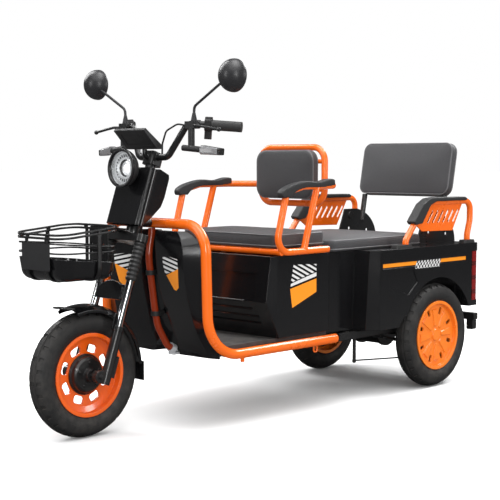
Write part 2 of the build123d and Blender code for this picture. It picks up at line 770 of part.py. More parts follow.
with BuildPart() as front_panels:
    for row in shield_rows:
        with BuildSketch(Plane.XY.offset(row[0])):
            shield_section(row[1:])
    loft()
save(front_panels, "front_panels")

with BuildPart() as tube_bands:
    for z, y, floor_y in ((BAND_Z[0], -514.9, -487.6), (BAND_Z[1], -493.0, -457.6)):
        with BuildSketch(Plane.XY.offset(z - 8)):
            with Locations((0, y)):
                Circle(TUBE_R + 4)
            with Locations((0, (y + floor_y - SEAT) / 2)):
                Rectangle(14, floor_y - SEAT - y)
        extrude(amount=16)
    pipe(tube_route, [50, 200, 200, 90, 40], TUBE_R + SEAT, mode=Mode.SUBTRACT)
save(tube_bands, "tube_bands")

# ---------------------------------------------------------------- column, lamp and its rear cover
COLUMN_HALF = 84.0
COLUMN_FRONT = -61.0
COLUMN_SEAM = -40.0
COLUMN_BACK = HEAD_TUBE_R + 6.0
COLUMN_LOW = 307.0
COLUMN_TOP = 501.0
COLUMN_WALL = 4.0
column_depth = 2 * (COLUMN_SEAM - COLUMN_FRONT) + 40

with BuildPart() as column_cover:
    with BuildSketch(steer.offset(COLUMN_LOW)):
        with Locations((0, COLUMN_FRONT + column_depth / 2)):
            RectangleRounded(2 * COLUMN_HALF, column_depth, 16)
            RectangleRounded(
                2 * (COLUMN_HALF - COLUMN_WALL), column_depth - 2 * COLUMN_WALL, 12, mode=Mode.SUBTRACT
            )
        with Locations((0, COLUMN_SEAM + column_depth / 2)):
            Rectangle(2 * COLUMN_HALF + 2, column_depth, mode=Mode.SUBTRACT)
    extrude(amount=COLUMN_TOP - COLUMN_LOW)
    with BuildSketch(steer.offset(COLUMN_TOP - COLUMN_WALL)):
        with Locations((0, (COLUMN_FRONT + COLUMN_SEAM) / 2 + 2)):
            Rectangle(2 * (COLUMN_HALF - COLUMN_WALL) + 2, COLUMN_SEAM - COLUMN_FRONT - 4)
    extrude(amount=COLUMN_WALL)
save(column_cover, "column_cover")

COLUMN_REAR_HALF = 72.0
column_side = Plane(origin=on_axis(0, 0, 0), x_dir=steer.y_dir, z_dir=(1, 0, 0))


def narrowing(front_half, back_half, back):
    """Keep what lies between two sides that close in towards the rear."""
    with BuildSketch(steer.offset(COLUMN_LOW - 2)) as sides:
        outline(
            (-front_half, COLUMN_SEAM - 2),
            (front_half, COLUMN_SEAM - 2),
            (back_half, back),
            (-back_half, back),
        )
    extrude(sides.sketch, amount=COLUMN_TOP - COLUMN_LOW + 20, mode=Mode.INTERSECT)


with BuildPart() as column_rear:
    with BuildSketch(column_side):
        outline(
            (COLUMN_SEAM + SEAT, COLUMN_LOW),
            (COLUMN_SEAM + SEAT, COLUMN_TOP - 8),
            (COLUMN_SEAM + 16, COLUMN_TOP + 6),
            (COLUMN_BACK - 6, COLUMN_TOP + 3),
            (COLUMN_BACK, COLUMN_TOP - 10),
            (COLUMN_BACK, 426),
            (COLUMN_BACK - 6, 393),
            (-3, 351),
        )
    extrude(amount=COLUMN_HALF, both=True)
    narrowing(COLUMN_HALF, COLUMN_REAR_HALF, COLUMN_BACK + 1)
    with BuildPart(mode=Mode.SUBTRACT):
        with BuildSketch(column_side):
            outline(
                (COLUMN_SEAM - 1, COLUMN_LOW - 1),
                (COLUMN_SEAM - 1, COLUMN_TOP - 8),
                (COLUMN_SEAM + 16, COLUMN_TOP + 1),
                (COLUMN_BACK - 6 - COLUMN_WALL, COLUMN_TOP - 2),
                (COLUMN_BACK - COLUMN_WALL, COLUMN_TOP - 12),
                (COLUMN_BACK - COLUMN_WALL, 428),
                (COLUMN_BACK - 6 - COLUMN_WALL, 396),
                (-6, 356),
            )
        extrude(amount=COLUMN_HALF, both=True)
        narrowing(COLUMN_HALF - COLUMN_WALL, COLUMN_REAR_HALF - COLUMN_WALL, COLUMN_BACK + 1)
    with BuildSketch(steer.offset(COLUMN_LOW - 1)):
        Circle(HEAD_TUBE_R + SEAT)
    extrude(amount=HEAD_TOP - COLUMN_LOW + 1, mode=Mode.SUBTRACT)
    with BuildSketch(steer.offset(HEAD_TOP - 1)):
        Circle(STEM_R + CLEAR)
    extrude(amount=20, mode=Mode.SUBTRACT)
save(column_rear, "column_rear")

LAMP_R = 58.0
LAMP_RING = 5.0            # width of the shell's lip round the lens
lamp_plane = Plane(origin=(0, -638, 860), x_dir=(1, 0, 0), z_dir=(0, -1, 0.05))

with BuildPart() as headlight_shell:
    with BuildSketch(Plane(origin=lamp_plane.origin, x_dir=(1, 0, 0), z_dir=lamp_plane.y_dir)):
        with BuildLine():
            Line((0, 46), (26, 46))
            ThreePointArc((26, 46), (LAMP_R - 8, 32), (LAMP_R + LAMP_RING, 6))
            Polyline((LAMP_R + LAMP_RING, 6), (LAMP_R + LAMP_RING, -6), (LAMP_R, -6), (LAMP_R, 8))
            ThreePointArc((LAMP_R, 8), (LAMP_R - 14, 27), (24, 39))
            Polyline((24, 39), (0, 39), (0, 46))
        make_face()
    revolve(axis=Axis(lamp_plane.origin, lamp_plane.z_dir))
    with BuildSketch(Plane(origin=on_axis(0, COLUMN_FRONT - SEAT, 480), x_dir=(1, 0, 0), z_dir=-steer.y_dir)):
        RectangleRounded(44, 30, 8)
    extrude(amount=22)
save(headlight_shell, "headlight_shell")

with BuildPart() as headlight_lens:
    with BuildSketch(lamp_plane.offset(-8)):
        Circle(LAMP_R - SEAT)
    extrude(amount=12)
    with BuildSketch(lamp_plane.offset(4)):
        Circle(LAMP_R - SEAT)
    extrude(amount=6, taper=60)
save(headlight_lens, "headlight_lens")

# ---------------------------------------------------------------- floor
FLOOR_HALF = HOOP_FOOT_X - RAIL_R - 3.0
FLOOR_FRONT_Y = -436.0
FLOOR_NOTCH_Y = -388.0

with BuildPart() as footboard:
    with BuildSketch(Plane.XY.offset(FLOOR_Z)):
        outline(
            (-FLOOR_HALF, FLOOR_FRONT_Y + 18),
            (-FLOOR_HALF + 30, FLOOR_FRONT_Y),
            (-72, FLOOR_FRONT_Y),
            (-58, FLOOR_NOTCH_Y),
            (58, FLOOR_NOTCH_Y),
            (72, FLOOR_FRONT_Y),
            (FLOOR_HALF - 30, FLOOR_FRONT_Y),
            (FLOOR_HALF, FLOOR_FRONT_Y + 18),
            (FLOOR_HALF, SEAT_REAR_Y),
            (-FLOOR_HALF, SEAT_REAR_Y),
        )
    extrude(amount=FLOOR_THICK)
save(footboard, "footboard")

# ---------------------------------------------------------------- rider's seat box and seat
SEAT_NOSE_Y = -209.0       # foremost line of the box's front
SEAT_NOSE_Z = 400.0
SEAT_FOOT_Y = -148.0
SEAT_LIP_Y = -187.0
RIB_STEPS = ((345, 185), (371, 158), (399, 132))
front_profile = [
    (SEAT_FOOT_Y, SEAT_BASE_Z),
    (SEAT_NOSE_Y, SEAT_NOSE_Z),
    (-204, 440),
    (SEAT_LIP_Y, SEAT_TOP_Z),
]
PANEL_INSET = 7.0
PANEL_HALF = SEAT_HALF - 62.0
nose_slope = (SEAT_FOOT_Y - SEAT_NOSE_Y) / (SEAT_NOSE_Z - SEAT_BASE_Z)

with BuildPart() as seat_box:
    with BuildSketch(side_plane(0)):
        outline(*front_profile, (SEAT_REAR_Y, SEAT_TOP_Z), (SEAT_REAR_Y, SEAT_BASE_Z))
    extrude(amount=SEAT_HALF, both=True)
    with BuildSketch(Plane.XY.offset(SEAT_BASE_Z - 1)):
        outline(
            (6 - SEAT_HALF, SEAT_NOSE_Y - 8),
            (SEAT_HALF - 6, SEAT_NOSE_Y - 8),
            (SEAT_HALF, -158),
            (SEAT_HALF, SEAT_REAR_Y),
            (-SEAT_HALF, SEAT_REAR_Y),
            (-SEAT_HALF, -158),
        )
    extrude(amount=SEAT_TOP_Z, mode=Mode.INTERSECT)
    # stepped panel pressed into the front
    with BuildSketch(side_plane(0)):
        outline(
            (-230, 320),
            (-230, 498),
            (PANEL_INSET - 196, 498),
            (PANEL_INSET - 204, 440),
            (PANEL_INSET + SEAT_NOSE_Y, SEAT_NOSE_Z),
            (-164, 320),
        )
    extrude(amount=PANEL_HALF, both=True, mode=Mode.SUBTRACT)
    for rib_z, rib_half in RIB_STEPS:
        rib_y = SEAT_NOSE_Y + (SEAT_NOSE_Z - rib_z) * nose_slope
        with BuildSketch(side_plane(0)):
            outline(
                (rib_y + 2, rib_z + 3), (rib_y + 2, rib_z - 2), (rib_y + 14, rib_z - 4), (rib_y + 14, rib_z + 4)
            )
        extrude(amount=min(rib_half, PANEL_HALF), both=True)
    # room inside, wider above the battery shelf
    with BuildSketch(Plane.XY.offset(SEAT_BASE_Z + WALL)):
        with Locations((0, (SEAT_REAR_Y - 130) / 2)):
            Rectangle(2 * (SEAT_HALF - WALL), SEAT_REAR_Y + 130 - 2 * WALL)
    extrude(amount=SEAT_TOP_Z, mode=Mode.SUBTRACT)
    with BuildSketch(Plane.XY.offset(SEAT_NOSE_Z + WALL)):
        with Locations((0, (SEAT_REAR_Y - 174) / 2)):
            Rectangle(2 * (SEAT_HALF - WALL), SEAT_REAR_Y + 174 - 2 * WALL)
    extrude(amount=SEAT_TOP_Z, mode=Mode.SUBTRACT)
save(seat_box, "seat_box")

with BuildPart() as battery:
    with BuildSketch(Plane.XY.offset(SEAT_BASE_Z + WALL + SEAT)):
        with Locations((0, -6)):
            RectangleRounded(1.5 * SEAT_HALF, 176, 6)
    extrude(amount=170)
save(battery, "battery")

FRAME_Z = SEAT_TOP_Z + ARM_R + SEAT
BACK_Y = 195.0
BACK_Z = 830.0
BACK_HALF = 160.0
BACK_RISE = 104.0
BACK_R = 12.0
BACK_BEND = 52.0
ARM_TOP_Z = 796.0
ARM_TURN_Y = 127.0
CUSHION_HALF = SEAT_HALF - 15.0
SEAT_BAR_Y = -145.0
SEAT_BAR_R = ARM_R - 0.5
ARM_PAD_HALF = 15.0
CUSHION_FRONT_Y = -153.0
CUSHION_REAR_Y = 114.0
CUSHION_TOP_Z = 637.0
cushion_low_z = FRAME_Z + SEAT_BAR_R + SEAT


def arm_route(side):
    """Corner points of one armrest's tube, from its foot rail up and round to the backrest loop."""
    turn = Vector(side * ARM_X, ARM_TURN_Y, ARM_TOP_Z)
    loop = Vector(side * BACK_HALF, BACK_Y, ARM_TOP_Z)
    aim = (loop - turn).normalized()
    return [
        (side * ARM_X, 95, FRAME_Z),
        (side * ARM_X, -181, FRAME_Z),
        (side * ARM_X, -122, 777),
        (side * ARM_X, -37, ARM_TOP_Z),
        turn,
        loop - aim * (BACK_R + SEAT),
    ]


ARM_BENDS = [50, 25, 60, 30]

with BuildPart() as front_armrests:
    for side in (1, -1):
        pipe(arm_route(side), ARM_BENDS, ARM_R)
        rod((side * ARM_X, -34, FRAME_Z), (side * ARM_X, 37, ARM_TOP_Z - 2), ARM_R)
        with BuildSketch(Plane.XY.offset(SEAT_TOP_Z + SEAT)):
            with Locations((side * (ARM_X - 10), -90), (side * (ARM_X - 10), 70)):
                RectangleRounded(24, 34, 4)
        extrude(amount=6)
    # cross bars under the cushion
    for y in (SEAT_BAR_Y, 84):
        rod((-ARM_X, y, FRAME_Z), (ARM_X, y, FRAME_Z), SEAT_BAR_R)
save(front_armrests, "front_armrests")

with BuildPart() as front_armrest_pads:
    for side in (1, -1):
        with BuildSketch(side_plane(side * ARM_X)):
            with BuildLine() as edge:
                Spline(
                    (-152, 757),
                    (-156, 776),
                    (-132, 793),
                    (-91, 805),
                    (-28, 814),
                    (46, 812),
                    (103, 821),
                    (120, 818),
                )
                Line((120, 818), (122, 797))
                Spline((122, 797), (84, 793), (46, 790), (-40, 789), (-88, 776), (-112, 757))
                Line((-112, 757), (-152, 757))
            make_face(edge.edges())
        extrude(amount=ARM_PAD_HALF, both=True)
    for side in (1, -1):
        pipe(arm_route(side), ARM_BENDS, ARM_R + SEAT, mode=Mode.SUBTRACT)
        rod((side * ARM_X, -34, FRAME_Z), (side * ARM_X, 37, ARM_TOP_Z - 2), ARM_R + SEAT, mode=Mode.SUBTRACT)
save(front_armrest_pads, "front_armrest_pads")

PAD_BACK_Y = BACK_Y - BACK_R - SEAT

with BuildPart() as front_backrest_frame:
    with BuildLine(front_plane(BACK_Y, BACK_Z)) as loop:
        FilletPolyline(
            (BACK_HALF, -BACK_RISE),
            (BACK_HALF, BACK_RISE),
            (-BACK_HALF, BACK_RISE),
            (-BACK_HALF, -BACK_RISE),
            radius=BACK_BEND,
            close=True,
        )
    with BuildSketch(Plane(origin=loop.line @ 0, z_dir=loop.line % 0)) as section:
        Circle(BACK_R)
    sweep(sections=section.sketch, path=loop.line)
    for z in (BACK_Z - 52, BACK_Z + 52):
        rod((-BACK_HALF, PAD_BACK_Y + SEAT + 8, z), (BACK_HALF, PAD_BACK_Y + SEAT + 8, z), 8)
save(front_backrest_frame, "front_backrest_frame")

with BuildPart() as front_backrest_pad:
    with BuildSketch(front_plane(PAD_BACK_Y, 834)):
        RectangleRounded(284, 178, 42)
    extrude(amount=38)
    fillet(faces().sort_by(Axis.Y)[0].edges(), 10)
save(front_backrest_pad, "front_backrest_pad")

with BuildPart() as front_cushion:
    with BuildSketch(Plane.XY.offset(cushion_low_z)):
        with Locations((0, (CUSHION_FRONT_Y + CUSHION_REAR_Y) / 2)):
            RectangleRounded(2 * CUSHION_HALF, CUSHION_REAR_Y - CUSHION_FRONT_Y, 24)
    extrude(amount=CUSHION_TOP_Z - cushion_low_z)
    fillet(faces().sort_by(Axis.Z)[-1].edges(), 14)
save(front_cushion, "front_cushion")

# ---------------------------------------------------------------- basket and plate
BASKET_HALF = 134.0
WIRE_R = 3.0
STRAP_WIDTH = 14.0
STRAP_THICK = 3.0
BASKET_REAR_Y = PLATE_Y - PLATE_THICK / 2 - SEAT
BASKET_FRONT_Y = -980.0
basket_mid_y = (BASKET_REAR_Y + BASKET_FRONT_Y) / 2
basket_length = BASKET_REAR_Y - BASKET_FRONT_Y
TRAY_LOW_Z = 514.0
TRAY_BEND = 56.0
RIM_MID_Z = 663.0
RIM_RISE = 5.5             # the rim is two flat bands, this far above and below its middle
RIM_BAND = 3.0             # half the height of each band
RIM_TILT = math.radians(5.2)
FRONT_STRAP_X = 50.0
tray_gap = STRAP_THICK + SEAT


def tilted(z, angle):
    """A plane over the middle of the basket that rises to the rear by the angle."""
    return Plane(
        origin=(0, basket_mid_y, z),
        x_dir=(1, 0, 0),
        z_dir=(0, -math.sin(angle), math.cos(angle)),
    )


def ring_section(width, out=0.0):
    """Fill a rounded ring that follows the basket's outline."""
    RectangleRounded(2 * (BASKET_HALF + out), basket_length + 2 * out, TRAY_BEND + out)
    RectangleRounded(
        2 * (BASKET_HALF + out - width), basket_length + 2 * (out - width), TRAY_BEND + out - width,
        mode=Mode.SUBTRACT,
    )


with BuildPart() as basket_tray:
    with BuildSketch(Plane.XY.offset(592)):
        with Locations((0, basket_mid_y)):
            RectangleRounded(2 * (BASKET_HALF - tray_gap), basket_length - 2 * tray_gap, TRAY_BEND - tray_gap)
    extrude(amount=TRAY_LOW_Z - 592, taper=9)
    fillet(faces().sort_by(Axis.Z)[0].edges(), 34)
    with BuildSketch(tilted(576, -RIM_TILT)):
        Rectangle(400, 400)
    extrude(amount=60, mode=Mode.SUBTRACT)
    offset(amount=-3, openings=faces().sort_by(Axis.Z)[-1])
save(basket_tray, "basket_tray")

with BuildPart() as basket_rim:
    for rise in (-RIM_RISE, RIM_RISE):
        with BuildSketch(tilted(RIM_MID_Z + rise, RIM_TILT)):
            ring_section(9)
        extrude(amount=RIM_BAND, both=True)
    rim_y = basket_length / 2 - 4.5
    with BuildSketch(tilted(RIM_MID_Z, RIM_TILT)):
        with GridLocations(2 * FRONT_STRAP_X, 2 * rim_y, 2, 2):
            Rectangle(12, 7)
        with Locations((BASKET_HALF - 4.5, 24), (4.5 - BASKET_HALF, 24)):
            Rectangle(7, 12)
    extrude(amount=RIM_RISE + 1, both=True)
save(basket_rim, "basket_rim")

with BuildPart() as basket_rings:
    with BuildSketch(tilted(623, -math.radians(4.3))):
        ring_section(5, -tray_gap)
    extrude(amount=2.5, both=True)
    with BuildSketch(tilted(602, 0)):
        ring_section(5, -tray_gap)
    extrude(amount=2.5, both=True)
save(basket_rings, "basket_rings")


def strap_section(length, low, high, bend):
    """Fill a U-shaped band that hangs from the rim and passes under the tray."""
    with Locations(((0, (low + high) / 2 + bend / 2))):
        RectangleRounded(length, high - low + bend, bend)
        RectangleRounded(
            length - 2 * STRAP_THICK, high - low + bend - 2 * STRAP_THICK, bend - STRAP_THICK,
            mode=Mode.SUBTRACT,
        )
    with Locations((0, high + bend)):
        Rectangle(length + 2, 2 * bend, mode=Mode.SUBTRACT)


STRAP_LOW_Z = TRAY_LOW_Z - STRAP_THICK - SEAT
STRAP_TOP_Z = 676.0
STRAP_BEND = 45.0
SIDE_STRAP_Y = -838.0

with BuildPart() as basket_straps:
    with BuildSketch(front_plane(SIDE_STRAP_Y + STRAP_WIDTH / 2)):
        strap_section(2 * BASKET_HALF, STRAP_LOW_Z, STRAP_TOP_Z, STRAP_BEND)
    extrude(amount=STRAP_WIDTH)
    for x in (-FRONT_STRAP_X, FRONT_STRAP_X):
        with BuildSketch(side_plane(x - STRAP_WIDTH / 2)):
            with Locations((basket_mid_y, 0)):
                strap_section(basket_length, STRAP_LOW_Z, STRAP_TOP_Z, STRAP_BEND)
        extrude(amount=STRAP_WIDTH)
    with BuildSketch(tilted(RIM_MID_Z - RIM_RISE - RIM_BAND - SEAT, RIM_TILT)):
        Rectangle(400, 400)
    extrude(amount=60, mode=Mode.SUBTRACT)
save(basket_straps, "basket_straps")

with BuildPart() as front_plate:
    with BuildSketch(front_plane(BASKET_FRONT_Y - SEAT, 590)):
        RectangleRounded(142, 84, 5)
    extrude(amount=2)
save(front_plate, "front_plate")

# ---------------------------------------------------------------- load box
LAMP_LOW_Z = 323.0
LAMP_TOP_Z = 522.0
LAMP_DEPTH = 36.0
CHAMFER = 40.0
CREASE_DEPTH = 3.0
STRIPE_Z = (484.0, 506.0)

with BuildPart() as cargo_box:
    with BuildSketch(side_plane(0)):
        outline(
            (BOX_FRONT_Y - 10, NECK_LOW_Z),
            (BOX_FRONT_Y, BOX_TOP_Z),
            (BOX_REAR_Y, BOX_TOP_Z),
            (BOX_REAR_Y, BOX_LOW_Z),
            (REAR_AXLE_Y - 220, BOX_LOW_Z),
            (REAR_AXLE_Y - 260, NECK_LOW_Z),
        )
    extrude(amount=BOX_HALF, both=True)
    with BuildSketch(Plane.XY.offset(NECK_LOW_Z - 1)):
        outline(
            (CHAMFER - BOX_HALF, BOX_FRONT_Y - 12),
            (BOX_HALF - CHAMFER, BOX_FRONT_Y - 12),
            (BOX_HALF, BOX_FRONT_Y + CHAMFER - 12),
            (BOX_HALF, BOX_REAR_Y),
            (-BOX_HALF, BOX_REAR_Y),
            (-BOX_HALF, BOX_FRONT_Y + CHAMFER - 12),
        )
    extrude(amount=BOX_TOP_Z, mode=Mode.INTERSECT)
    # pressed panel ahead of each wheel arch and a shallow band along the side
    for side in (1, -1):
        with BuildSketch(side_plane(side * (BOX_HALF - CREASE_DEPTH))):
            outline(
                (REAR_AXLE_Y - 318, 480),
                (REAR_AXLE_Y - 317, 413),
                (REAR_AXLE_Y - 199, 378),
                (REAR_AXLE_Y - 142, 423),
                (REAR_AXLE_Y - 168, 471),
            )
            outline(
                (BOX_FRONT_Y + CHAMFER + 4, STRIPE_Z[0]),
                (BOX_FRONT_Y + CHAMFER + 4, STRIPE_Z[1]),
                (BOX_REAR_Y - LAMP_DEPTH - 40, STRIPE_Z[1]),
                (BOX_REAR_Y - LAMP_DEPTH - 40, STRIPE_Z[0]),
            )
        extrude(amount=side * WALL, mode=Mode.SUBTRACT)
    with BuildSketch(Plane.XY.offset(NECK_LOW_Z)):
        with Locations((0, (NECK_FRONT_Y + BOX_FRONT_Y + 20) / 2)):
            Rectangle(2 * NECK_HALF, BOX_FRONT_Y + 20 - NECK_FRONT_Y)
    extrude(amount=BOX_TOP_Z - NECK_LOW_Z)
    for side in (1, -1):
        with BuildSketch(side_plane(side * ARCH_X)):
            with Locations((REAR_AXLE_Y, TYRE_R)):
                Circle(ARCH_R)
        extrude(amount=side * BOX_HALF, mode=Mode.SUBTRACT)
    with BuildSketch(Plane.XY.offset(NECK_LOW_Z + WALL)):
        with Locations((0, (NECK_FRONT_Y + WALL + REAR_AXLE_Y - 260) / 2)):
            Rectangle(2 * (NECK_HALF - WALL), REAR_AXLE_Y - 260 - NECK_FRONT_Y - WALL)
    extrude(amount=BOX_TOP_Z - NECK_LOW_Z - 2 * WALL, mode=Mode.SUBTRACT)
    with BuildSketch(Plane.XY.offset(BOX_LOW_Z + WALL)):
        with Locations((0, (REAR_AXLE_Y - 270 + BOX_REAR_Y - WALL) / 2)):
            Rectangle(2 * (ARCH_X - WALL), BOX_REAR_Y - WALL - REAR_AXLE_Y + 270)
    extrude(amount=BOX_TOP_Z - BOX_LOW_Z - 2 * WALL, mode=Mode.SUBTRACT)
    with BuildSketch(Plane.XY.offset(TYRE_R + ARCH_R + WALL)):
        with Locations((0, (BOX_FRONT_Y + 50 + BOX_REAR_Y - WALL) / 2)):
            Rectangle(2 * (BOX_HALF - WALL - CREASE_DEPTH), BOX_REAR_Y - WALL - BOX_FRONT_Y - 50)
    extrude(amount=BOX_TOP_Z - TYRE_R - ARCH_R - 2 * WALL, mode=Mode.SUBTRACT)
    with BuildSketch(Plane.XY.offset(BOX_TOP_Z - 40)):
        with Locations((0, (NECK_FRONT_Y + WALL + DECK_Y) / 2)):
            Rectangle(2 * (NECK_HALF - WALL), DECK_Y - NECK_FRONT_Y - WALL)
    extrude(amount=60, mode=Mode.SUBTRACT)
    with BuildSketch(Plane(origin=(0, BOX_REAR_Y - 2 * WALL, GATE_Z), x_dir=(1, 0, 0), z_dir=(0, 1, 0))):
        Rectangle(2 * GATE_HALF, GATE_HEIGHT)
    extrude(amount=60, mode=Mode.SUBTRACT)
    for side in (1, -1):
        with BuildSketch(Plane.XY.offset(LAMP_LOW_Z)):
            with Locations((side * (BOX_HALF - 9), BOX_REAR_Y - LAMP_DEPTH / 2)):
                Rectangle(18, LAMP_DEPTH)
        extrude(amount=LAMP_TOP_Z - LAMP_LOW_Z, mode=Mode.SUBTRACT)
save(cargo_box, "cargo_box")

with BuildPart() as tailgate:
    with BuildSketch(front_plane(BOX_REAR_Y, GATE_Z - 3 + SEAT / 2)):
        RectangleRounded(2 * GATE_HALF - 12, GATE_HEIGHT - 6 - SEAT, 8)
    extrude(amount=WALL)
    with BuildSketch(Plane(origin=(0, BOX_REAR_Y, GATE_Z), x_dir=(1, 0, 0), z_dir=(0, 1, 0))):
        RectangleRounded(2 * GATE_HALF - 90, GATE_HEIGHT - 80, 20)
    extrude(amount=-3, mode=Mode.SUBTRACT)
save(tailgate, "tailgate")

with BuildPart() as tail_lamps:
    for side in (1, -1):
        with BuildSketch(Plane.XY.offset(LAMP_LOW_Z + SEAT)):
            inner_x = side * (BOX_HALF - 18 + SEAT)
            outer_x = side * (BOX_HALF + 2)
            outline(
                (inner_x, BOX_REAR_Y - LAMP_DEPTH + SEAT),
                (outer_x, BOX_REAR_Y - LAMP_DEPTH + SEAT),
                (outer_x, BOX_REAR_Y - 8),
                (side * (BOX_HALF - 6), BOX_REAR_Y + 2),
                (inner_x, BOX_REAR_Y + 2),
            )
        extrude(amount=LAMP_TOP_Z - LAMP_LOW_Z - 2 * SEAT)
save(tail_lamps, "tail_lamps")

REAR_CUSHION_HALF = NECK_HALF + 15.0
REAR_CUSHION_THICK = 46.0

with BuildPart() as rear_cushion:
    with BuildSketch(Plane.XY.offset(BOX_TOP_Z + SEAT)):
        with Locations((0, (NECK_FRONT_Y + DECK_Y) / 2 + 14)):
            RectangleRounded(2 * REAR_CUSHION_HALF, DECK_Y - NECK_FRONT_Y, 24)
    extrude(amount=REAR_CUSHION_THICK)
    fillet(faces().sort_by(Axis.Z)[-1].edges(), 12)
save(rear_cushion, "rear_cushion")

# ---------------------------------------------------------------- rear armrests and backrest
SHOE_HEIGHT = 12.0
REAR_ARM_TOP_Z = 725.0
front_foot_y = REAR_AXLE_Y - 193
rear_foot_y = REAR_AXLE_Y + 219


def rear_arm_route(side):
    """Corner points of one rear armrest's tube, from its front foot to its rear foot."""
    x = side * REAR_ARM_X
    foot_z = BOX_TOP_Z + SHOE_HEIGHT + 2 * SEAT
    return [
        (x, front_foot_y, foot_z),
        (x, front_foot_y, foot_z + 14),
        (x, REAR_AXLE_Y - 66, REAR_ARM_TOP_Z),
        (x, REAR_AXLE_Y + 238, REAR_ARM_TOP_Z - 1),
        (x, REAR_AXLE_Y + 238, 646),
        (x, rear_foot_y, foot_z + 20),
        (x, rear_foot_y, foot_z),
    ]


REAR_ARM_BENDS = [20, 50, 36, 60, 30]

with BuildPart() as rear_armrests:
    for side in (1, -1):
        pipe(rear_arm_route(side), REAR_ARM_BENDS, ARM_R)
        with BuildSketch(side_plane(side * REAR_ARM_X)):
            outline(
                (REAR_AXLE_Y - 128, 638),
                (REAR_AXLE_Y - 89, 613),
                (REAR_AXLE_Y + 113, 609),
                (REAR_AXLE_Y + 186, REAR_ARM_TOP_Z),
                (REAR_AXLE_Y - 60, REAR_ARM_TOP_Z),
            )
            with Locations(*[(REAR_AXLE_Y - 36 + 34 * index, 667) for index in range(6)]):
                SlotOverall(62, 9, rotation=52, mode=Mode.SUBTRACT)
        extrude(amount=2, both=True)
save(rear_armrests, "rear_armrests")

with BuildPart() as rear_armrest_pads:
    for side in (1, -1):
        with BuildSketch(side_plane(side * REAR_ARM_X)):
            outline(
                (REAR_AXLE_Y - 164, 652),
                (REAR_AXLE_Y - 104, 719),
                (REAR_AXLE_Y - 60, 740),
                (REAR_AXLE_Y - 12, 744),
                (REAR_AXLE_Y + 180, 742),
                (REAR_AXLE_Y + 194, 734),
                (REAR_AXLE_Y + 190, 727),
                (REAR_AXLE_Y - 16, 727),
                (REAR_AXLE_Y - 56, 713),
                (REAR_AXLE_Y - 110, 645),
                (REAR_AXLE_Y - 150, 640),
            )
        extrude(amount=20, both=True)
    for side in (1, -1):
        pipe(rear_arm_route(side), REAR_ARM_BENDS, ARM_R + SEAT, mode=Mode.SUBTRACT)
        with BuildSketch(side_plane(side * REAR_ARM_X)):
            with Locations((REAR_AXLE_Y + 20, 672)):
                Rectangle(320, 2 * (REAR_ARM_TOP_Z - 672))
        extrude(amount=2 + SEAT, both=True, mode=Mode.SUBTRACT)
save(rear_armrest_pads, "rear_armrest_pads")

with BuildPart() as armrest_shoes:
    for side in (1, -1):
        for y, length in ((REAR_AXLE_Y - 216, 100), (rear_foot_y, 76)):
            with BuildSketch(Plane.XY.offset(BOX_TOP_Z + SEAT)):
                with Locations((side * REAR_ARM_X, y)):
                    RectangleRounded(38, length, 12)
            extrude(amount=SHOE_HEIGHT, taper=15)
save(armrest_shoes, "armrest_shoes")

BACK_LEAN = math.radians(11.3)
REAR_BACK_HALF = 228.0
REAR_BACK_HEIGHT = 218.0
REAR_BACK_THICK = 44.0
BELL_X = 205.0
POST_R = 11.0
back_up = Vector(0, math.sin(BACK_LEAN), math.cos(BACK_LEAN))
back_out = Vector(0, -math.cos(BACK_LEAN), math.sin(BACK_LEAN))
back_foot = Vector(0, REAR_AXLE_Y + 214, 738)
pad_plane = Plane(
    origin=back_foot + back_up * (REAR_BACK_HEIGHT / 2), x_dir=(1, 0, 0), z_dir=back_out
)

with BuildPart() as rear_backrest_pad:
    with BuildSketch(pad_plane):
        RectangleRounded(2 * REAR_BACK_HALF, REAR_BACK_HEIGHT, REAR_BACK_HALF - BELL_X + POST_R)
    extrude(amount=REAR_BACK_THICK)
    fillet(faces().sort_by(Axis((0, 0, 0), back_out))[-1].edges(), 10)
save(rear_backrest_pad, "rear_backrest_pad")

with BuildPart() as rear_backrest_brackets:
    for side in (1, -1):
        x = side * BELL_X
        with BuildSketch(side_plane(x)):
            with BuildLine() as edge:
                bell_z = BOX_TOP_Z + SEAT
                Line((REAR_AXLE_Y + 266, bell_z), (REAR_AXLE_Y + 5, bell_z))
                Spline(
                    (REAR_AXLE_Y + 5, bell_z),
                    (REAR_AXLE_Y + 14, 584),
                    (REAR_AXLE_Y + 37, 640),
                    (REAR_AXLE_Y + 52, 682),
                )
                Line((REAR_AXLE_Y + 52, 682), (REAR_AXLE_Y + 134, 682))
                Spline(
                    (REAR_AXLE_Y + 134, 682),
                    (REAR_AXLE_Y + 180, 668),
                    (REAR_AXLE_Y + 232, 634),
                    (REAR_AXLE_Y + 266, bell_z),
                )
            make_face(edge.edges())
            with Locations((REAR_AXLE_Y + 83, 600), (REAR_AXLE_Y + 202, 589)):
                Circle(7, mode=Mode.SUBTRACT)
        extrude(amount=2.5, both=True)
        with BuildSketch(side_plane(x)):
            with Locations((REAR_AXLE_Y + 92, 655)):
                Circle(16)
        extrude(amount=7, both=True)
        post_top = Vector(x, 0, 0) + back_foot + back_out * (REAR_BACK_THICK / 2) - back_up * SEAT
        rod(post_top - back_up * 112, post_top, POST_R)
save(rear_backrest_brackets, "rear_backrest_brackets")

# ---------------------------------------------------------------- rear axle, springs, brakes and bumper
AXLE_TUBE_R = 20.0
axle_end = REAR_TRACK_HALF + REAR_HUB_INNER - 21.0

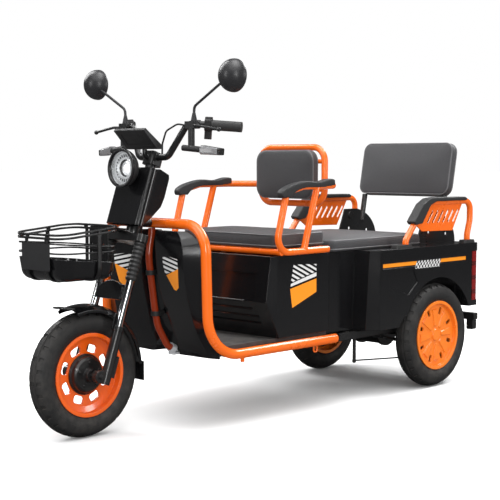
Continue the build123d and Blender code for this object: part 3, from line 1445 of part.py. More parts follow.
with BuildPart() as rear_axle:
    rod((-axle_end, REAR_AXLE_Y, TYRE_R), (axle_end, REAR_AXLE_Y, TYRE_R), AXLE_TUBE_R)
    stub_end = REAR_TRACK_HALF + 7
    rod((-stub_end, REAR_AXLE_Y, TYRE_R), (stub_end, REAR_AXLE_Y, TYRE_R), STUB_R)
    with BuildSketch(side_plane(-60)):
        with Locations((REAR_AXLE_Y, TYRE_R)):
            Circle(62)
    extrude(amount=120)
    for x in (-66, 54):
        with BuildSketch(side_plane(x)):
            with Locations((REAR_AXLE_Y, TYRE_R)):
                Circle(68)
        extrude(amount=12)
save(rear_axle, "rear_axle")

LEAF_THICK = 6.0
LEAVES = ((SPRING_HALF, 34.0), (150.0, 15.0), (80.0, 4.0))

with BuildPart() as leaf_springs:
    for side in (1, -1):
        with BuildSketch(side_plane(side * SPRING_X)):
            for index, (half, rise) in enumerate(LEAVES):
                top = TYRE_R - AXLE_TUBE_R - SEAT - index * LEAF_THICK
                with BuildLine():
                    upper = ThreePointArc(
                        (REAR_AXLE_Y - half, top + rise), (REAR_AXLE_Y, top), (REAR_AXLE_Y + half, top + rise)
                    )
                    lower = ThreePointArc(
                        (REAR_AXLE_Y - half, top + rise - LEAF_THICK),
                        (REAR_AXLE_Y, top - LEAF_THICK),
                        (REAR_AXLE_Y + half, top + rise - LEAF_THICK),
                    )
                    Line(upper @ 0, lower @ 0)
                    Line(upper @ 1, lower @ 1)
                make_face()
            eye_z = LADDER_Z - CROSS_R - SEAT - 13
            with Locations((REAR_AXLE_Y - SPRING_HALF, eye_z), (REAR_AXLE_Y + SPRING_HALF, eye_z)):
                Circle(13)
        extrude(amount=SPRING_WIDTH / 2, both=True)
save(leaf_springs, "leaf_springs")

BRAKE_X = SILL_X - SILL_THICK + 4.0
BRAKE_THICK = 6.0
HANGER_Y = 292.0
HANGER_LOW_Z = 141.0
arm_y = REAR_AXLE_Y - 126
ARM_LOW_Z = 119.0

with BuildPart() as brake_linkage:
    for side in (1, -1):
        x = side * BRAKE_X
        with BuildSketch(side_plane(x)):
            with Locations((HANGER_Y, (SILL_LOW_Z - SEAT + HANGER_LOW_Z) / 2)):
                Rectangle(14, SILL_LOW_Z - SEAT - HANGER_LOW_Z)
            with Locations((HANGER_Y, HANGER_LOW_Z)):
                Circle(9)
            with Locations((REAR_AXLE_Y, TYRE_R)):
                Circle(AXLE_TUBE_R + 10)
            outline(
                (REAR_AXLE_Y - 30, TYRE_R + 4),
                (arm_y - 5, ARM_LOW_Z + 6),
                (arm_y + 6, ARM_LOW_Z - 6),
                (REAR_AXLE_Y - 6, TYRE_R - 28),
            )
            with Locations((arm_y, ARM_LOW_Z)):
                Circle(8)
            with Locations((REAR_AXLE_Y, TYRE_R)):
                Circle(AXLE_TUBE_R + SEAT, mode=Mode.SUBTRACT)
        extrude(amount=BRAKE_THICK / 2, both=True)
        rod((x, HANGER_Y, HANGER_LOW_Z), (x, arm_y, ARM_LOW_Z), 2.9)
save(brake_linkage, "brake_linkage")

BUMPER_HALF = BOX_HALF - 20.0
LUG_X = BOX_HALF - 41.0

with BuildPart() as rear_bumper:
    with BuildSketch(Plane(origin=(0, BUMPER_Y + SEAT, 248.5), x_dir=(-1, 0, 0), z_dir=(0, 1, 0))):
        RectangleRounded(2 * BUMPER_HALF, 28, 5)
        with Locations((LUG_X, -32), (-LUG_X, -32)):
            RectangleRounded(30, 44, 5)
    extrude(amount=28)
save(rear_bumper, "rear_bumper")
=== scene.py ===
"""Electric leisure tricycle: finishes, upholstery, tyres, lamps and studio, in metres."""

import math

import bmesh
import bpy
from mathutils import Matrix, Vector


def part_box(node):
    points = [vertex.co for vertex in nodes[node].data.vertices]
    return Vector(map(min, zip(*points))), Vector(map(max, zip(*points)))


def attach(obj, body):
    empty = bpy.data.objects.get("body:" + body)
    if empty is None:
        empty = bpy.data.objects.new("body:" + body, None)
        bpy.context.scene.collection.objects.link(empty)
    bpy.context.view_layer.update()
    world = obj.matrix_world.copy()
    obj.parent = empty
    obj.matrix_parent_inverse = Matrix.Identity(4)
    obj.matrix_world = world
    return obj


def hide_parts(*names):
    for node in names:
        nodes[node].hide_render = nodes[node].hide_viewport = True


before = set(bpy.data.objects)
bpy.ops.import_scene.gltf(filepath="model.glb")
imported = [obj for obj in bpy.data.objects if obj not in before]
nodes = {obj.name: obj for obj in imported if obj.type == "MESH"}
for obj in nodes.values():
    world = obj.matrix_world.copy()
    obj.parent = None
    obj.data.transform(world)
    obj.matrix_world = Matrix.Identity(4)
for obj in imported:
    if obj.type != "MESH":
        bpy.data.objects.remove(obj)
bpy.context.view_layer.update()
scene = bpy.context.scene


# ------------------------------------------------------------------ camera

CAMERA_AT = Vector((3.011, -3.153, 0.881))
CAMERA_LOOK = Vector((-0.6926, 0.7175, -0.0738))
LENS = 85.93
SENSOR = 36.0
FAR_CLIP = 200.0

bpy.ops.object.select_all(action="DESELECT")
bpy.ops.object.camera_add(
    location=CAMERA_AT, rotation=CAMERA_LOOK.to_track_quat("-Z", "Y").to_euler()
)
camera = bpy.context.object
camera.name = "studio_camera"
camera.data.lens = LENS
camera.data.sensor_width = SENSOR
camera.data.clip_end = FAR_CLIP
scene.camera = camera


# ------------------------------------------------------------------ modelling helpers

SAME_POINT = 0.00005
SAME_PROFILE_POINT = 0.00002


def deselect():
    """Nothing stays selected before a new piece is started."""
    if bpy.context.object and bpy.context.object.mode != "OBJECT":
        bpy.ops.object.mode_set(mode="OBJECT")
    bpy.ops.object.select_all(action="DESELECT")


def choose(piece):
    """Make one object the selected and active one."""
    deselect()
    piece.select_set(True)
    bpy.context.view_layer.objects.active = piece


def settle(piece, smooth=35.0):
    """Put the object's place into its mesh and shade it smooth up to an angle."""
    choose(piece)
    bpy.ops.object.transform_apply(location=True, rotation=True, scale=True)
    bpy.ops.object.shade_smooth_by_angle(angle=math.radians(smooth))
    return piece


def outward(piece):
    """Merge doubles and turn every face outwards."""
    choose(piece)
    bpy.ops.object.mode_set(mode="EDIT")
    bpy.ops.mesh.select_all(action="SELECT")
    bpy.ops.mesh.remove_doubles(threshold=SAME_POINT)
    bpy.ops.mesh.normals_make_consistent(inside=False)
    bpy.ops.object.mode_set(mode="OBJECT")


def apply_modifier(piece, kind, name, **settings):
    """Add one modifier with its settings and apply it."""
    modifier = piece.modifiers.new(name, kind)
    for setting, value in settings.items():
        setattr(modifier, setting, value)
    choose(piece)
    bpy.ops.object.modifier_apply(modifier=name)


def lathe(name, profile, centre, axis, steps=64, smooth=35.0):
    """Spin a profile of (distance along the axis, radius) points round the axis."""
    centre = Vector(centre)
    axis = Vector(axis).normalized()
    side = axis.orthogonal().normalized()
    points = [centre + axis * along + side * radius for along, radius in profile]
    deselect()
    bpy.ops.mesh.primitive_plane_add(size=0.001, location=points[0])
    piece = bpy.context.object
    piece.name = name
    bpy.ops.object.mode_set(mode="EDIT")
    bpy.ops.mesh.select_all(action="SELECT")
    bpy.ops.mesh.merge(type="CENTER")
    for here, there in zip(points, points[1:]):
        bpy.ops.mesh.extrude_region_move(TRANSFORM_OT_translate={"value": there - here})
    bpy.ops.mesh.select_all(action="SELECT")
    bpy.ops.mesh.spin(steps=steps, angle=2 * math.pi, center=centre, axis=axis)
    bpy.ops.mesh.select_all(action="SELECT")
    bpy.ops.mesh.remove_doubles(threshold=SAME_PROFILE_POINT)
    bpy.ops.mesh.normals_make_consistent(inside=False)
    bpy.ops.object.mode_set(mode="OBJECT")
    return settle(piece, smooth)


def arc(start, middle, end, count):
    """Points on the round arc through three points, both ends included."""
    (ax, ay), (bx, by), (cx, cy) = start, middle, end
    d = 2 * (ax * (by - cy) + bx * (cy - ay) + cx * (ay - by))
    a2, b2, c2 = ax * ax + ay * ay, bx * bx + by * by, cx * cx + cy * cy
    ux = (a2 * (by - cy) + b2 * (cy - ay) + c2 * (ay - by)) / d
    uy = (a2 * (cx - bx) + b2 * (ax - cx) + c2 * (bx - ax)) / d
    radius = math.hypot(ax - ux, ay - uy)
    first = math.atan2(ay - uy, ax - ux)
    last = math.atan2(cy - uy, cx - ux)
    via = math.atan2(by - uy, bx - ux)
    turn = (last - first) % (2 * math.pi)
    if (via - first) % (2 * math.pi) > turn:
        turn -= 2 * math.pi
    return [
        (ux + radius * math.cos(first + turn * i / (count - 1)),
         uy + radius * math.sin(first + turn * i / (count - 1)))
        for i in range(count)
    ]


def middle(node):
    """The centre of a CAD node's box."""
    low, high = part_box(node)
    return (low + high) / 2


# ------------------------------------------------------------------ shader groups

def new_group(name, inputs, outputs):
    """An empty shader node group with named inputs and outputs."""
    tree = bpy.data.node_groups.new(name, "ShaderNodeTree")
    for label, kind, value in inputs:
        socket = tree.interface.new_socket(label, in_out="INPUT", socket_type=kind)
        socket.default_value = value
    for label, kind in outputs:
        tree.interface.new_socket(label, in_out="OUTPUT", socket_type=kind)
    entry = tree.nodes.new("NodeGroupInput")
    leave = tree.nodes.new("NodeGroupOutput")
    return tree, entry, leave


def add_node(tree, kind, label="", **values):
    """One node, with its settings and plain input values."""
    node = tree.nodes.new(kind)
    node.label = label
    for key, value in values.items():
        if hasattr(node, key):
            setattr(node, key, value)
        else:
            node.inputs[key.replace("_", " ")].default_value = value
    return node


def calc(tree, operation, first, second=None, third=None, clamp=False):
    """A math node fed by sockets or plain numbers."""
    node = tree.nodes.new("ShaderNodeMath")
    node.operation = operation
    node.use_clamp = clamp
    for index, value in enumerate((first, second, third)):
        if value is None:
            continue
        if isinstance(value, (int, float)):
            node.inputs[index].default_value = value
        else:
            tree.links.new(value, node.inputs[index])
    return node.outputs[0]


def object_point(tree):
    """The shading point in the object's own coordinates."""
    return tree.nodes.new("ShaderNodeTexCoord").outputs["Object"]


def ripple(tree, value, rate):
    """A sine wave along a value."""
    return calc(tree, "SINE", calc(tree, "MULTIPLY", value, rate))


def near(tree, value, centre, width):
    """White where a value lies within a width of a centre."""
    away = calc(tree, "ABSOLUTE", calc(tree, "SUBTRACT", value, centre))
    return calc(tree, "LESS_THAN", away, width)


def contrast(tree, value, gain, lift):
    """A mask made stronger and held between black and white."""
    return calc(tree, "MULTIPLY_ADD", value, gain, lift, clamp=True)


def product(tree, *values):
    """Several masks or numbers multiplied together."""
    result = values[0]
    for value in values[1:]:
        result = calc(tree, "MULTIPLY", result, value)
    return result


FLOAT, COLOUR, VECTOR = "NodeSocketFloat", "NodeSocketColor", "NodeSocketVector"
PEBBLE_SHARE = 0.6
CELL_WANDER = 0.003
CREASE_WIDTH = 0.22
EDGE_RAYS = 6

# moulded or sprayed surface: fine pebble height and a soft blotch mask
grain, entry, leave = new_group(
    "moulded grain",
    [("Scale", FLOAT, 900.0), ("Blotch", FLOAT, 9.0)],
    [("Height", FLOAT), ("Mask", FLOAT)],
)
point = object_point(grain)
pebble = add_node(grain, "ShaderNodeTexVoronoi", "pebbles")
speck = add_node(grain, "ShaderNodeTexNoise", "specks", Detail=3.0)
blotch = add_node(grain, "ShaderNodeTexNoise", "blotches", Detail=5.0, Roughness=0.62)
for node, socket in ((pebble, "Scale"), (speck, "Scale"), (blotch, "Blotch")):
    grain.links.new(point, node.inputs["Vector"])
    grain.links.new(entry.outputs[socket], node.inputs["Scale"])
grain.links.new(
    calc(grain, "MULTIPLY_ADD", pebble.outputs["Distance"], PEBBLE_SHARE, speck.outputs[0]),
    leave.inputs["Height"],
)
grain.links.new(contrast(grain, blotch.outputs[0], gain=2.4, lift=-0.7), leave.inputs["Mask"])

# road dust: more of it low down and on faces that look up
dust, entry, leave = new_group(
    "road dust",
    [("Top Height", FLOAT, 0.5), ("Amount", FLOAT, 0.3)],
    [("Mask", FLOAT)],
)
point = object_point(dust)
split = add_node(dust, "ShaderNodeSeparateXYZ")
dust.links.new(point, split.inputs[0])
fall = add_node(dust, "ShaderNodeMapRange", "fades upwards")
fall.inputs["To Min"].default_value = 1.0
fall.inputs["To Max"].default_value = 0.0
dust.links.new(split.outputs["Z"], fall.inputs["Value"])
dust.links.new(entry.outputs["Top Height"], fall.inputs["From Max"])
facing = add_node(dust, "ShaderNodeSeparateXYZ")
dust.links.new(dust.nodes.new("ShaderNodeNewGeometry").outputs["Normal"], facing.inputs[0])
upward = contrast(dust, facing.outputs["Z"], gain=0.6, lift=0.45)
cloud = add_node(dust, "ShaderNodeTexNoise", "patches", Scale=26.0, Detail=6.0, Roughness=0.7)
dust.links.new(point, cloud.inputs["Vector"])
patch = contrast(dust, cloud.outputs[0], gain=3.0, lift=-1.0)
mask = product(dust, fall.outputs[0], upward, patch, entry.outputs["Amount"])
dust.links.new(mask, leave.inputs["Mask"])

# colour that drifts a little over the surface
drift, entry, leave = new_group(
    "colour drift",
    [("Color", COLOUR, (0.5, 0.5, 0.5, 1)), ("Spread", FLOAT, 0.1), ("Scale", FLOAT, 6.0)],
    [("Color", COLOUR)],
)
wander = add_node(drift, "ShaderNodeTexNoise", "drift", Detail=4.0)
drift.links.new(object_point(drift), wander.inputs["Vector"])
drift.links.new(entry.outputs["Scale"], wander.inputs["Scale"])
offset = calc(drift, "SUBTRACT", wander.outputs[0], 0.5)
gain = calc(drift, "MULTIPLY_ADD", offset, entry.outputs["Spread"], 1.0)
scaled = add_node(drift, "ShaderNodeVectorMath", operation="SCALE")
drift.links.new(entry.outputs["Color"], scaled.inputs[0])
drift.links.new(gain, scaled.inputs["Scale"])
drift.links.new(scaled.outputs[0], leave.inputs["Color"])

# leather: rounded cells with creases between them
leather, entry, leave = new_group(
    "leather cells",
    [("Scale", FLOAT, 420.0)],
    [("Height", FLOAT), ("Crease", FLOAT)],
)
point = object_point(leather)
warp = add_node(leather, "ShaderNodeTexNoise", "uneven cells", Scale=60.0, Detail=2.0)
leather.links.new(point, warp.inputs["Vector"])
bend = add_node(leather, "ShaderNodeVectorMath", operation="MULTIPLY_ADD")
leather.links.new(warp.outputs["Color"], bend.inputs[0])
bend.inputs[1].default_value = (CELL_WANDER, CELL_WANDER, CELL_WANDER)
leather.links.new(point, bend.inputs[2])
cells = add_node(leather, "ShaderNodeTexVoronoi", "cells", feature="DISTANCE_TO_EDGE")
leather.links.new(bend.outputs[0], cells.inputs["Vector"])
leather.links.new(entry.outputs["Scale"], cells.inputs["Scale"])
rounded = add_node(leather, "ShaderNodeMapRange", "round cells", interpolation_type="SMOOTHSTEP")
rounded.inputs["From Max"].default_value = CREASE_WIDTH
leather.links.new(cells.outputs["Distance"], rounded.inputs["Value"])
leather.links.new(rounded.outputs[0], leave.inputs["Height"])
leather.links.new(calc(leather, "SUBTRACT", 1.0, rounded.outputs[0]), leave.inputs["Crease"])

# rounded edges for pressed and moulded parts
edges, entry, leave = new_group("rounded edges", [("Radius", FLOAT, 0.002)], [("Normal", VECTOR)])
worn = edges.nodes.new("ShaderNodeBevel")
worn.samples = EDGE_RAYS
edges.links.new(entry.outputs["Radius"], worn.inputs["Radius"])
edges.links.new(worn.outputs[0], leave.inputs["Normal"])

# distance from a wheel's axle
wheel_place, entry, leave = new_group(
    "round the axle",
    [("Axle Y", FLOAT, 0.0), ("Axle Z", FLOAT, 0.203)],
    [("Radius", FLOAT)],
)
split = add_node(wheel_place, "ShaderNodeSeparateXYZ")
wheel_place.links.new(object_point(wheel_place), split.inputs[0])
ahead = calc(wheel_place, "SUBTRACT", split.outputs["Y"], entry.outputs["Axle Y"])
above = calc(wheel_place, "SUBTRACT", split.outputs["Z"], entry.outputs["Axle Z"])
ahead_squared = calc(wheel_place, "MULTIPLY", ahead, ahead)
squares = calc(wheel_place, "MULTIPLY_ADD", above, above, ahead_squared)
wheel_place.links.new(calc(wheel_place, "SQRT", squares), leave.inputs["Radius"])


# ------------------------------------------------------------------ materials

# the colour sockets of a Mix node, which has three sockets of each name
MIX_FACTOR, MIX_FIRST, MIX_SECOND, MIX_COLOUR = 0, 6, 7, 2


class Finish:
    """A material under construction: a Principled shader and the groups that feed it."""

    def __init__(self, name, colour, roughness, **sockets):
        self.material = bpy.data.materials.new(name)
        self.material.use_nodes = True
        self.tree = self.material.node_tree
        self.shader = self.tree.nodes["Principled BSDF"]
        self.shader.inputs["Base Color"].default_value = (*colour, 1)
        self.shader.inputs["Roughness"].default_value = roughness
        for socket, value in sockets.items():
            self.shader.inputs[socket.replace("_", " ")].default_value = value
        self.colour = None
        self.normals = []

    def group(self, tree, **inputs):
        """Place a shared group with this material's own values."""
        node = self.tree.nodes.new("ShaderNodeGroup")
        node.node_tree = tree
        for socket, value in inputs.items():
            node.inputs[socket.replace("_", " ")].default_value = value
        return node

    def paint(self, colour, spread, scale):
        """Base colour that drifts a little."""
        node = self.group(drift, Color=(*colour, 1), Spread=spread, Scale=scale)
        self.show(node.outputs["Color"])

    def show(self, socket):
        """Send a colour to the shader."""
        self.colour = socket
        self.tree.links.new(socket, self.shader.inputs["Base Color"])

    def over(self, mask, colour):
        """Lay a second colour over the first where the mask is white."""
        mix = add_node(self.tree, "ShaderNodeMix", data_type="RGBA")
        self.tree.links.new(mask, mix.inputs[MIX_FACTOR])
        self.tree.links.new(self.colour, mix.inputs[MIX_FIRST])
        if isinstance(colour, tuple):
            mix.inputs[MIX_SECOND].default_value = (*colour, 1)
        else:
            self.tree.links.new(colour, mix.inputs[MIX_SECOND])
        self.show(mix.outputs[MIX_COLOUR])

    def rough(self, mask, low, high):
        """Roughness that follows a mask."""
        spread = add_node(self.tree, "ShaderNodeMapRange")
        spread.inputs["To Min"].default_value = low
        spread.inputs["To Max"].default_value = high
        self.tree.links.new(mask, spread.inputs["Value"])
        self.tree.links.new(spread.outputs[0], self.shader.inputs["Roughness"])

    def raise_by(self, height, distance, strength):
        """Chain a bump onto the shader's normal."""
        bump = add_node(self.tree, "ShaderNodeBump", Strength=strength, Distance=distance)
        self.tree.links.new(height, bump.inputs["Height"])
        if self.normals:
            self.tree.links.new(self.normals[-1], bump.inputs["Normal"])
        self.normals.append(bump.outputs[0])
        self.tree.links.new(bump.outputs[0], self.shader.inputs["Normal"])

    def soften(self, radius):
        """Round the sharp edges in the shading, so they catch the light."""
        edge = self.group(edges, Radius=radius)
        self.normals.append(edge.outputs["Normal"])
        self.tree.links.new(edge.outputs["Normal"], self.shader.inputs["Normal"])

    def axes(self):
        """The three coordinates of the shading point."""
        split = add_node(self.tree, "ShaderNodeSeparateXYZ")
        self.tree.links.new(object_point(self.tree), split.inputs[0])
        return split.outputs

    def inside(self, across, up, corners):
        """White inside a convex outline of (across, up) corners, given anticlockwise."""
        pair = add_node(self.tree, "ShaderNodeCombineXYZ")
        self.tree.links.new(across, pair.inputs[0])
        self.tree.links.new(up, pair.inputs[1])
        sides = []
        for (ax, ay), (bx, by) in zip(corners, corners[1:] + corners[:1]):
            normal = Vector((ay - by, bx - ax, 0)).normalized()
            measure = add_node(self.tree, "ShaderNodeVectorMath", operation="DOT_PRODUCT")
            self.tree.links.new(pair.outputs[0], measure.inputs[0])
            measure.inputs[1].default_value = normal
            edge = normal.x * ax + normal.y * ay
            sides.append(calc(self.tree, "GREATER_THAN", measure.outputs["Value"], edge))
        return product(self.tree, *sides)

    def stripes(self, across, up, slope, pitch, share):
        """White in slanting stripes that repeat at the pitch."""
        level = calc(self.tree, "MULTIPLY_ADD", across, slope, up)
        turns = calc(self.tree, "MULTIPLY", level, 1 / pitch)
        return calc(self.tree, "LESS_THAN", calc(self.tree, "FRACT", turns), share)

    def outer_sides(self, across, node, depth):
        """White on the two outer side walls of a CAD node."""
        far = calc(self.tree, "ABSOLUTE", across)
        return calc(self.tree, "GREATER_THAN", far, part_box(node)[1].x - depth)

    def print_on(self, surface, shapes):
        """Lay each coloured shape over the base where the surface mask is white."""
        for mask, colour in shapes:
            self.over(product(self.tree, mask, surface), colour)

    def dusty(self, top_height, amount):
        """Road dust over the base colour."""
        node = self.group(dust, Top_Height=top_height, Amount=amount)
        self.over(node.outputs["Mask"], DUST)


def gloss_paint(name, colour, roughness=0.24, coat=0.6, dust_amount=0.12):
    """Sprayed gloss paint with a faint orange-peel and dust low down."""
    finish = Finish(name, colour, roughness, Coat_Weight=coat, Coat_Roughness=0.08)
    finish.paint(colour, spread=0.10, scale=5.0)
    finish.soften(radius=0.0045)
    peel = finish.group(grain, Scale=260.0, Blotch=7.0)
    finish.raise_by(peel.outputs["Height"], distance=0.0001, strength=0.05)
    finish.rough(peel.outputs["Mask"], low=roughness * 0.8, high=roughness * 1.35)
    finish.dusty(top_height=0.35, amount=dust_amount)
    return finish


def moulded(name, colour, roughness, scale=1100.0, depth=0.0004, dust_amount=0.25):
    """Textured moulded plastic or rubber."""
    finish = Finish(name, colour, roughness)
    finish.paint(colour, spread=0.25, scale=9.0)
    finish.soften(radius=0.0015)
    pebbles = finish.group(grain, Scale=scale, Blotch=12.0)
    finish.raise_by(pebbles.outputs["Height"], distance=depth, strength=0.35)
    finish.rough(pebbles.outputs["Mask"], low=roughness * 0.85, high=min(1.0, roughness * 1.15))
    finish.dusty(top_height=0.5, amount=dust_amount)
    return finish


DUST = (0.16, 0.14, 0.12)
ORANGE = (0.90, 0.145, 0.006)
FRONT_RIM_ORANGE = (0.88, 0.12, 0.006)
REAR_RIM_ORANGE = (0.93, 0.21, 0.012)
AMBER = (0.95, 0.30, 0.015)
# the orange darkened as painted shade, for the centre tube
SHADED_TUBE_ORANGE = (0.28, 0.03, 0.006)
LENS_RED = (0.2, 0.006, 0.006)
LENS_RED_BAND = (0.09, 0.004, 0.004)
GLOSS_BLACK = (0.0055, 0.0055, 0.0062)
FRAME_BLACK = (0.009, 0.009, 0.0095)
RUBBER_BLACK = (0.012, 0.012, 0.0125)
CHEQUER_BLACK = (0.015, 0.015, 0.016)
PLASTIC_BLACK = (0.016, 0.016, 0.0165)
PLATE_CHARCOAL = (0.016, 0.016, 0.017)
FOAM_BLACK = (0.02, 0.02, 0.021)
LAMP_BAR = (0.02, 0.02, 0.02)
LAMP_GAP = (0.05, 0.05, 0.05)
LENS_END_BLACK = (0.03, 0.03, 0.03)
MIRROR_BLACK = (0.022, 0.022, 0.024)
GRIP_BLACK = (0.024, 0.024, 0.024)
CREASE_SHADE_BLACK = (0.028, 0.028, 0.031)
MAT_BLACK = (0.03, 0.03, 0.031)
HIDE_CHARCOAL = (0.042, 0.042, 0.046)
# lighter than the hide: a painted highlight along the piping
PIPING_HIGHLIGHT_GREY = (0.11, 0.11, 0.115)
SMOKE = (0.36, 0.36, 0.37)
SILVER = (0.55, 0.56, 0.58)
CHROME = (0.72, 0.73, 0.75)
WHITE = (0.75, 0.75, 0.74)
REFLECTOR = (0.78, 0.79, 0.8)
FROST = (0.85, 0.86, 0.88)
CLEAR = (0.95, 0.96, 0.97)

orange_paint = gloss_paint("orange powder coat", ORANGE)
frame_paint = gloss_paint(
    "black frame paint", FRAME_BLACK, roughness=0.3, coat=0.35, dust_amount=0.3
)
panel_black = gloss_paint(
    "gloss black panel", GLOSS_BLACK, roughness=0.16, coat=0.5, dust_amount=0.08
)
# the centre tube: orange paint darkened to a deep red, as painted shade
shaded_orange_tube_paint = gloss_paint("orange tube paint darkened as painted shade", SHADED_TUBE_ORANGE, roughness=0.2, coat=0.6, dust_amount=0.3)
silver_paint = gloss_paint("silver paint", SILVER, roughness=0.3, coat=0.3, dust_amount=0.2)
soft_black = moulded("matt black plastic", PLASTIC_BLACK, roughness=0.48)
grip_rubber = moulded("grip rubber", GRIP_BLACK, roughness=0.55, scale=700.0, depth=0.0006)
plate_charcoal = moulded("charcoal plate", PLATE_CHARCOAL, roughness=0.45, scale=1500.0)
# piping cords: grey lighter than the leatherette, as a painted highlight along the seams
piping_skin_with_highlight = moulded(
    "piping vinyl lightened as painted highlight", PIPING_HIGHLIGHT_GREY, roughness=0.35, scale=1200.0, depth=0.0002, dust_amount=0.0
)

mirror_black = Finish("mirror shell black", MIRROR_BLACK, roughness=0.34)
mirror_black.paint(MIRROR_BLACK, spread=0.2, scale=14.0)
blotches = mirror_black.group(grain, Scale=900.0, Blotch=30.0)
mirror_black.rough(blotches.outputs["Mask"], low=0.3, high=0.4)
mirror_black.dusty(top_height=1.6, amount=0.08)

chrome = Finish("bright chrome", CHROME, roughness=0.12, Metallic=1.0)
chrome.paint(CHROME, spread=0.08, scale=14.0)
blotches = chrome.group(grain, Scale=300.0, Blotch=30.0)
chrome.rough(blotches.outputs["Mask"], low=0.07, high=0.2)


def rim_paint(name, node, colour):
    """Gloss orange with faint turning marks in rings round the axle."""
    finish = gloss_paint(name, colour, roughness=0.22, coat=0.7, dust_amount=0.25)
    centre = middle(node)
    around = finish.group(wheel_place, Axle_Y=centre.y, Axle_Z=centre.z)
    rings = ripple(finish.tree, around.outputs["Radius"], rate=900)
    finish.raise_by(rings, distance=0.0002, strength=0.15)
    return finish


def tyre_rubber(name, node):
    """Charcoal rubber with thin moulded rings on the side wall."""
    finish = moulded(name, RUBBER_BLACK, roughness=0.62, scale=800.0, depth=0.0005, dust_amount=0.5)
    centre = middle(node)
    around = finish.group(wheel_place, Axle_Y=centre.y, Axle_Z=centre.z)
    for ring_radius in (0.146, 0.166, 0.184):
        ring = near(finish.tree, around.outputs["Radius"], ring_radius, width=0.0011)
        finish.raise_by(ring, distance=0.0008, strength=0.6)
    return finish


leatherette = Finish("charcoal leatherette", HIDE_CHARCOAL, roughness=0.46, Sheen_Weight=0.15)
leatherette.paint(HIDE_CHARCOAL, spread=0.2, scale=8.0)
hide = leatherette.group(leather, Scale=430.0)
leatherette.raise_by(hide.outputs["Height"], distance=0.0005, strength=0.4)
# the creases between the cells are painted darker, as painted shade
leatherette.over(hide.outputs["Crease"], CREASE_SHADE_BLACK)
leatherette.rough(hide.outputs["Crease"], low=0.42, high=0.6)

pad_skin = Finish("armrest foam skin", FOAM_BLACK, roughness=0.55)
pad_skin.paint(FOAM_BLACK, spread=0.25, scale=10.0)
hide = pad_skin.group(leather, Scale=700.0)
pad_skin.raise_by(hide.outputs["Height"], distance=0.0004, strength=0.4)

# smoked clear lens with moulded ribs and a dark outer end
SIGNAL_END = 0.294
signal_lens = Finish("smoked lens", SILVER, roughness=0.14, Coat_Weight=0.5, IOR=1.49)
signal_lens.shader.inputs["Transmission Weight"].default_value = 0.45
signal_lens.paint(SMOKE, spread=0.2, scale=20.0)
side, _, _ = signal_lens.axes()
far = calc(signal_lens.tree, "ABSOLUTE", side)
signal_lens.over(calc(signal_lens.tree, "GREATER_THAN", far, SIGNAL_END), LENS_END_BLACK)
signal_lens.raise_by(ripple(signal_lens.tree, far, rate=1500), distance=0.0006, strength=0.5)

# headlight glass with rings pressed into it
lamp_glass = Finish("lamp glass", CLEAR, roughness=0.03, IOR=1.46)
lamp_glass.shader.inputs["Transmission Weight"].default_value = 1.0
lamp_centre = middle("headlight_lens")
lamp_around = add_node(lamp_glass.tree, "ShaderNodeVectorMath", operation="DISTANCE")
lamp_glass.tree.links.new(object_point(lamp_glass.tree), lamp_around.inputs[0])
lamp_around.inputs[1].default_value = lamp_centre
rings = ripple(lamp_glass.tree, lamp_around.outputs["Value"], rate=1400)
lamp_glass.raise_by(rings, distance=0.0002, strength=0.12)

# reflector: made bright by a painted glow in its own colour, with a ring of dark bars and a thin
# dark gap inside it
lamp_mirror = Finish("lamp reflector", REFLECTOR, roughness=0.2, Metallic=0.45)
lamp_mirror.paint(REFLECTOR, spread=0.1, scale=30.0)
# painted light: the reflector's emission brightens the inside of the lamp
lamp_mirror.shader.inputs["Emission Strength"].default_value = 0.35
tree = lamp_mirror.tree
across, _, up = lamp_mirror.axes()
rise = calc(tree, "SUBTRACT", up, lamp_centre.z)
squares = calc(tree, "MULTIPLY_ADD", across, across, calc(tree, "MULTIPLY", rise, rise))
reach = calc(tree, "SQRT", squares)
spokes = ripple(tree, calc(tree, "ARCTAN2", rise, across), rate=26)
bars = calc(tree, "GREATER_THAN", spokes, -0.1)
ring = near(tree, reach, 0.0405, width=0.0045)
gap = near(tree, reach, 0.0260, width=0.0022)
lamp_mirror.over(product(tree, bars, ring), LAMP_BAR)
lamp_mirror.over(gap, LAMP_GAP)
tree.links.new(lamp_mirror.colour, lamp_mirror.shader.inputs["Emission Color"])

# frosted bulb whose emission is a painted glow that brightens the inside of the lamp
frosted = Finish("frosted bulb", FROST, roughness=0.25, Coat_Weight=0.5)
frosted.paint(FROST, spread=0.08, scale=60.0)
frosted.shader.inputs["Emission Color"].default_value = (1.0, 0.98, 0.94, 1)
frosted.shader.inputs["Emission Strength"].default_value = 0.9
blotches = frosted.group(grain, Scale=900.0, Blotch=40.0)
frosted.raise_by(blotches.outputs["Height"], distance=0.0002, strength=0.2)

# tail lamp: fine ribs and darker bands
red_lens = Finish("dark red lens", LENS_RED, roughness=0.12, Coat_Weight=0.8, Coat_Roughness=0.05)
red_lens.paint(LENS_RED, spread=0.3, scale=16.0)
_, _, height = red_lens.axes()
red_lens.raise_by(ripple(red_lens.tree, height, rate=900), distance=0.0008, strength=0.5)
band = calc(red_lens.tree, "GREATER_THAN", ripple(red_lens.tree, height, rate=110), 0.55)
red_lens.over(band, LENS_RED_BAND)

# rubber floor mat: staggered rows of raised blocks
floor_mat = moulded(
    "ribbed floor mat", MAT_BLACK, roughness=0.6, scale=900.0, depth=0.0004, dust_amount=0.9
)
side, ahead, _ = floor_mat.axes()
rows = ripple(floor_mat.tree, side, rate=260)
stagger = ripple(floor_mat.tree, ahead, rate=90)
block = calc(floor_mat.tree, "GREATER_THAN", product(floor_mat.tree, rows, stagger), 0.12)
floor_mat.raise_by(block, distance=0.0016, strength=0.8)


# ------------------------------------------------------------------ graphics

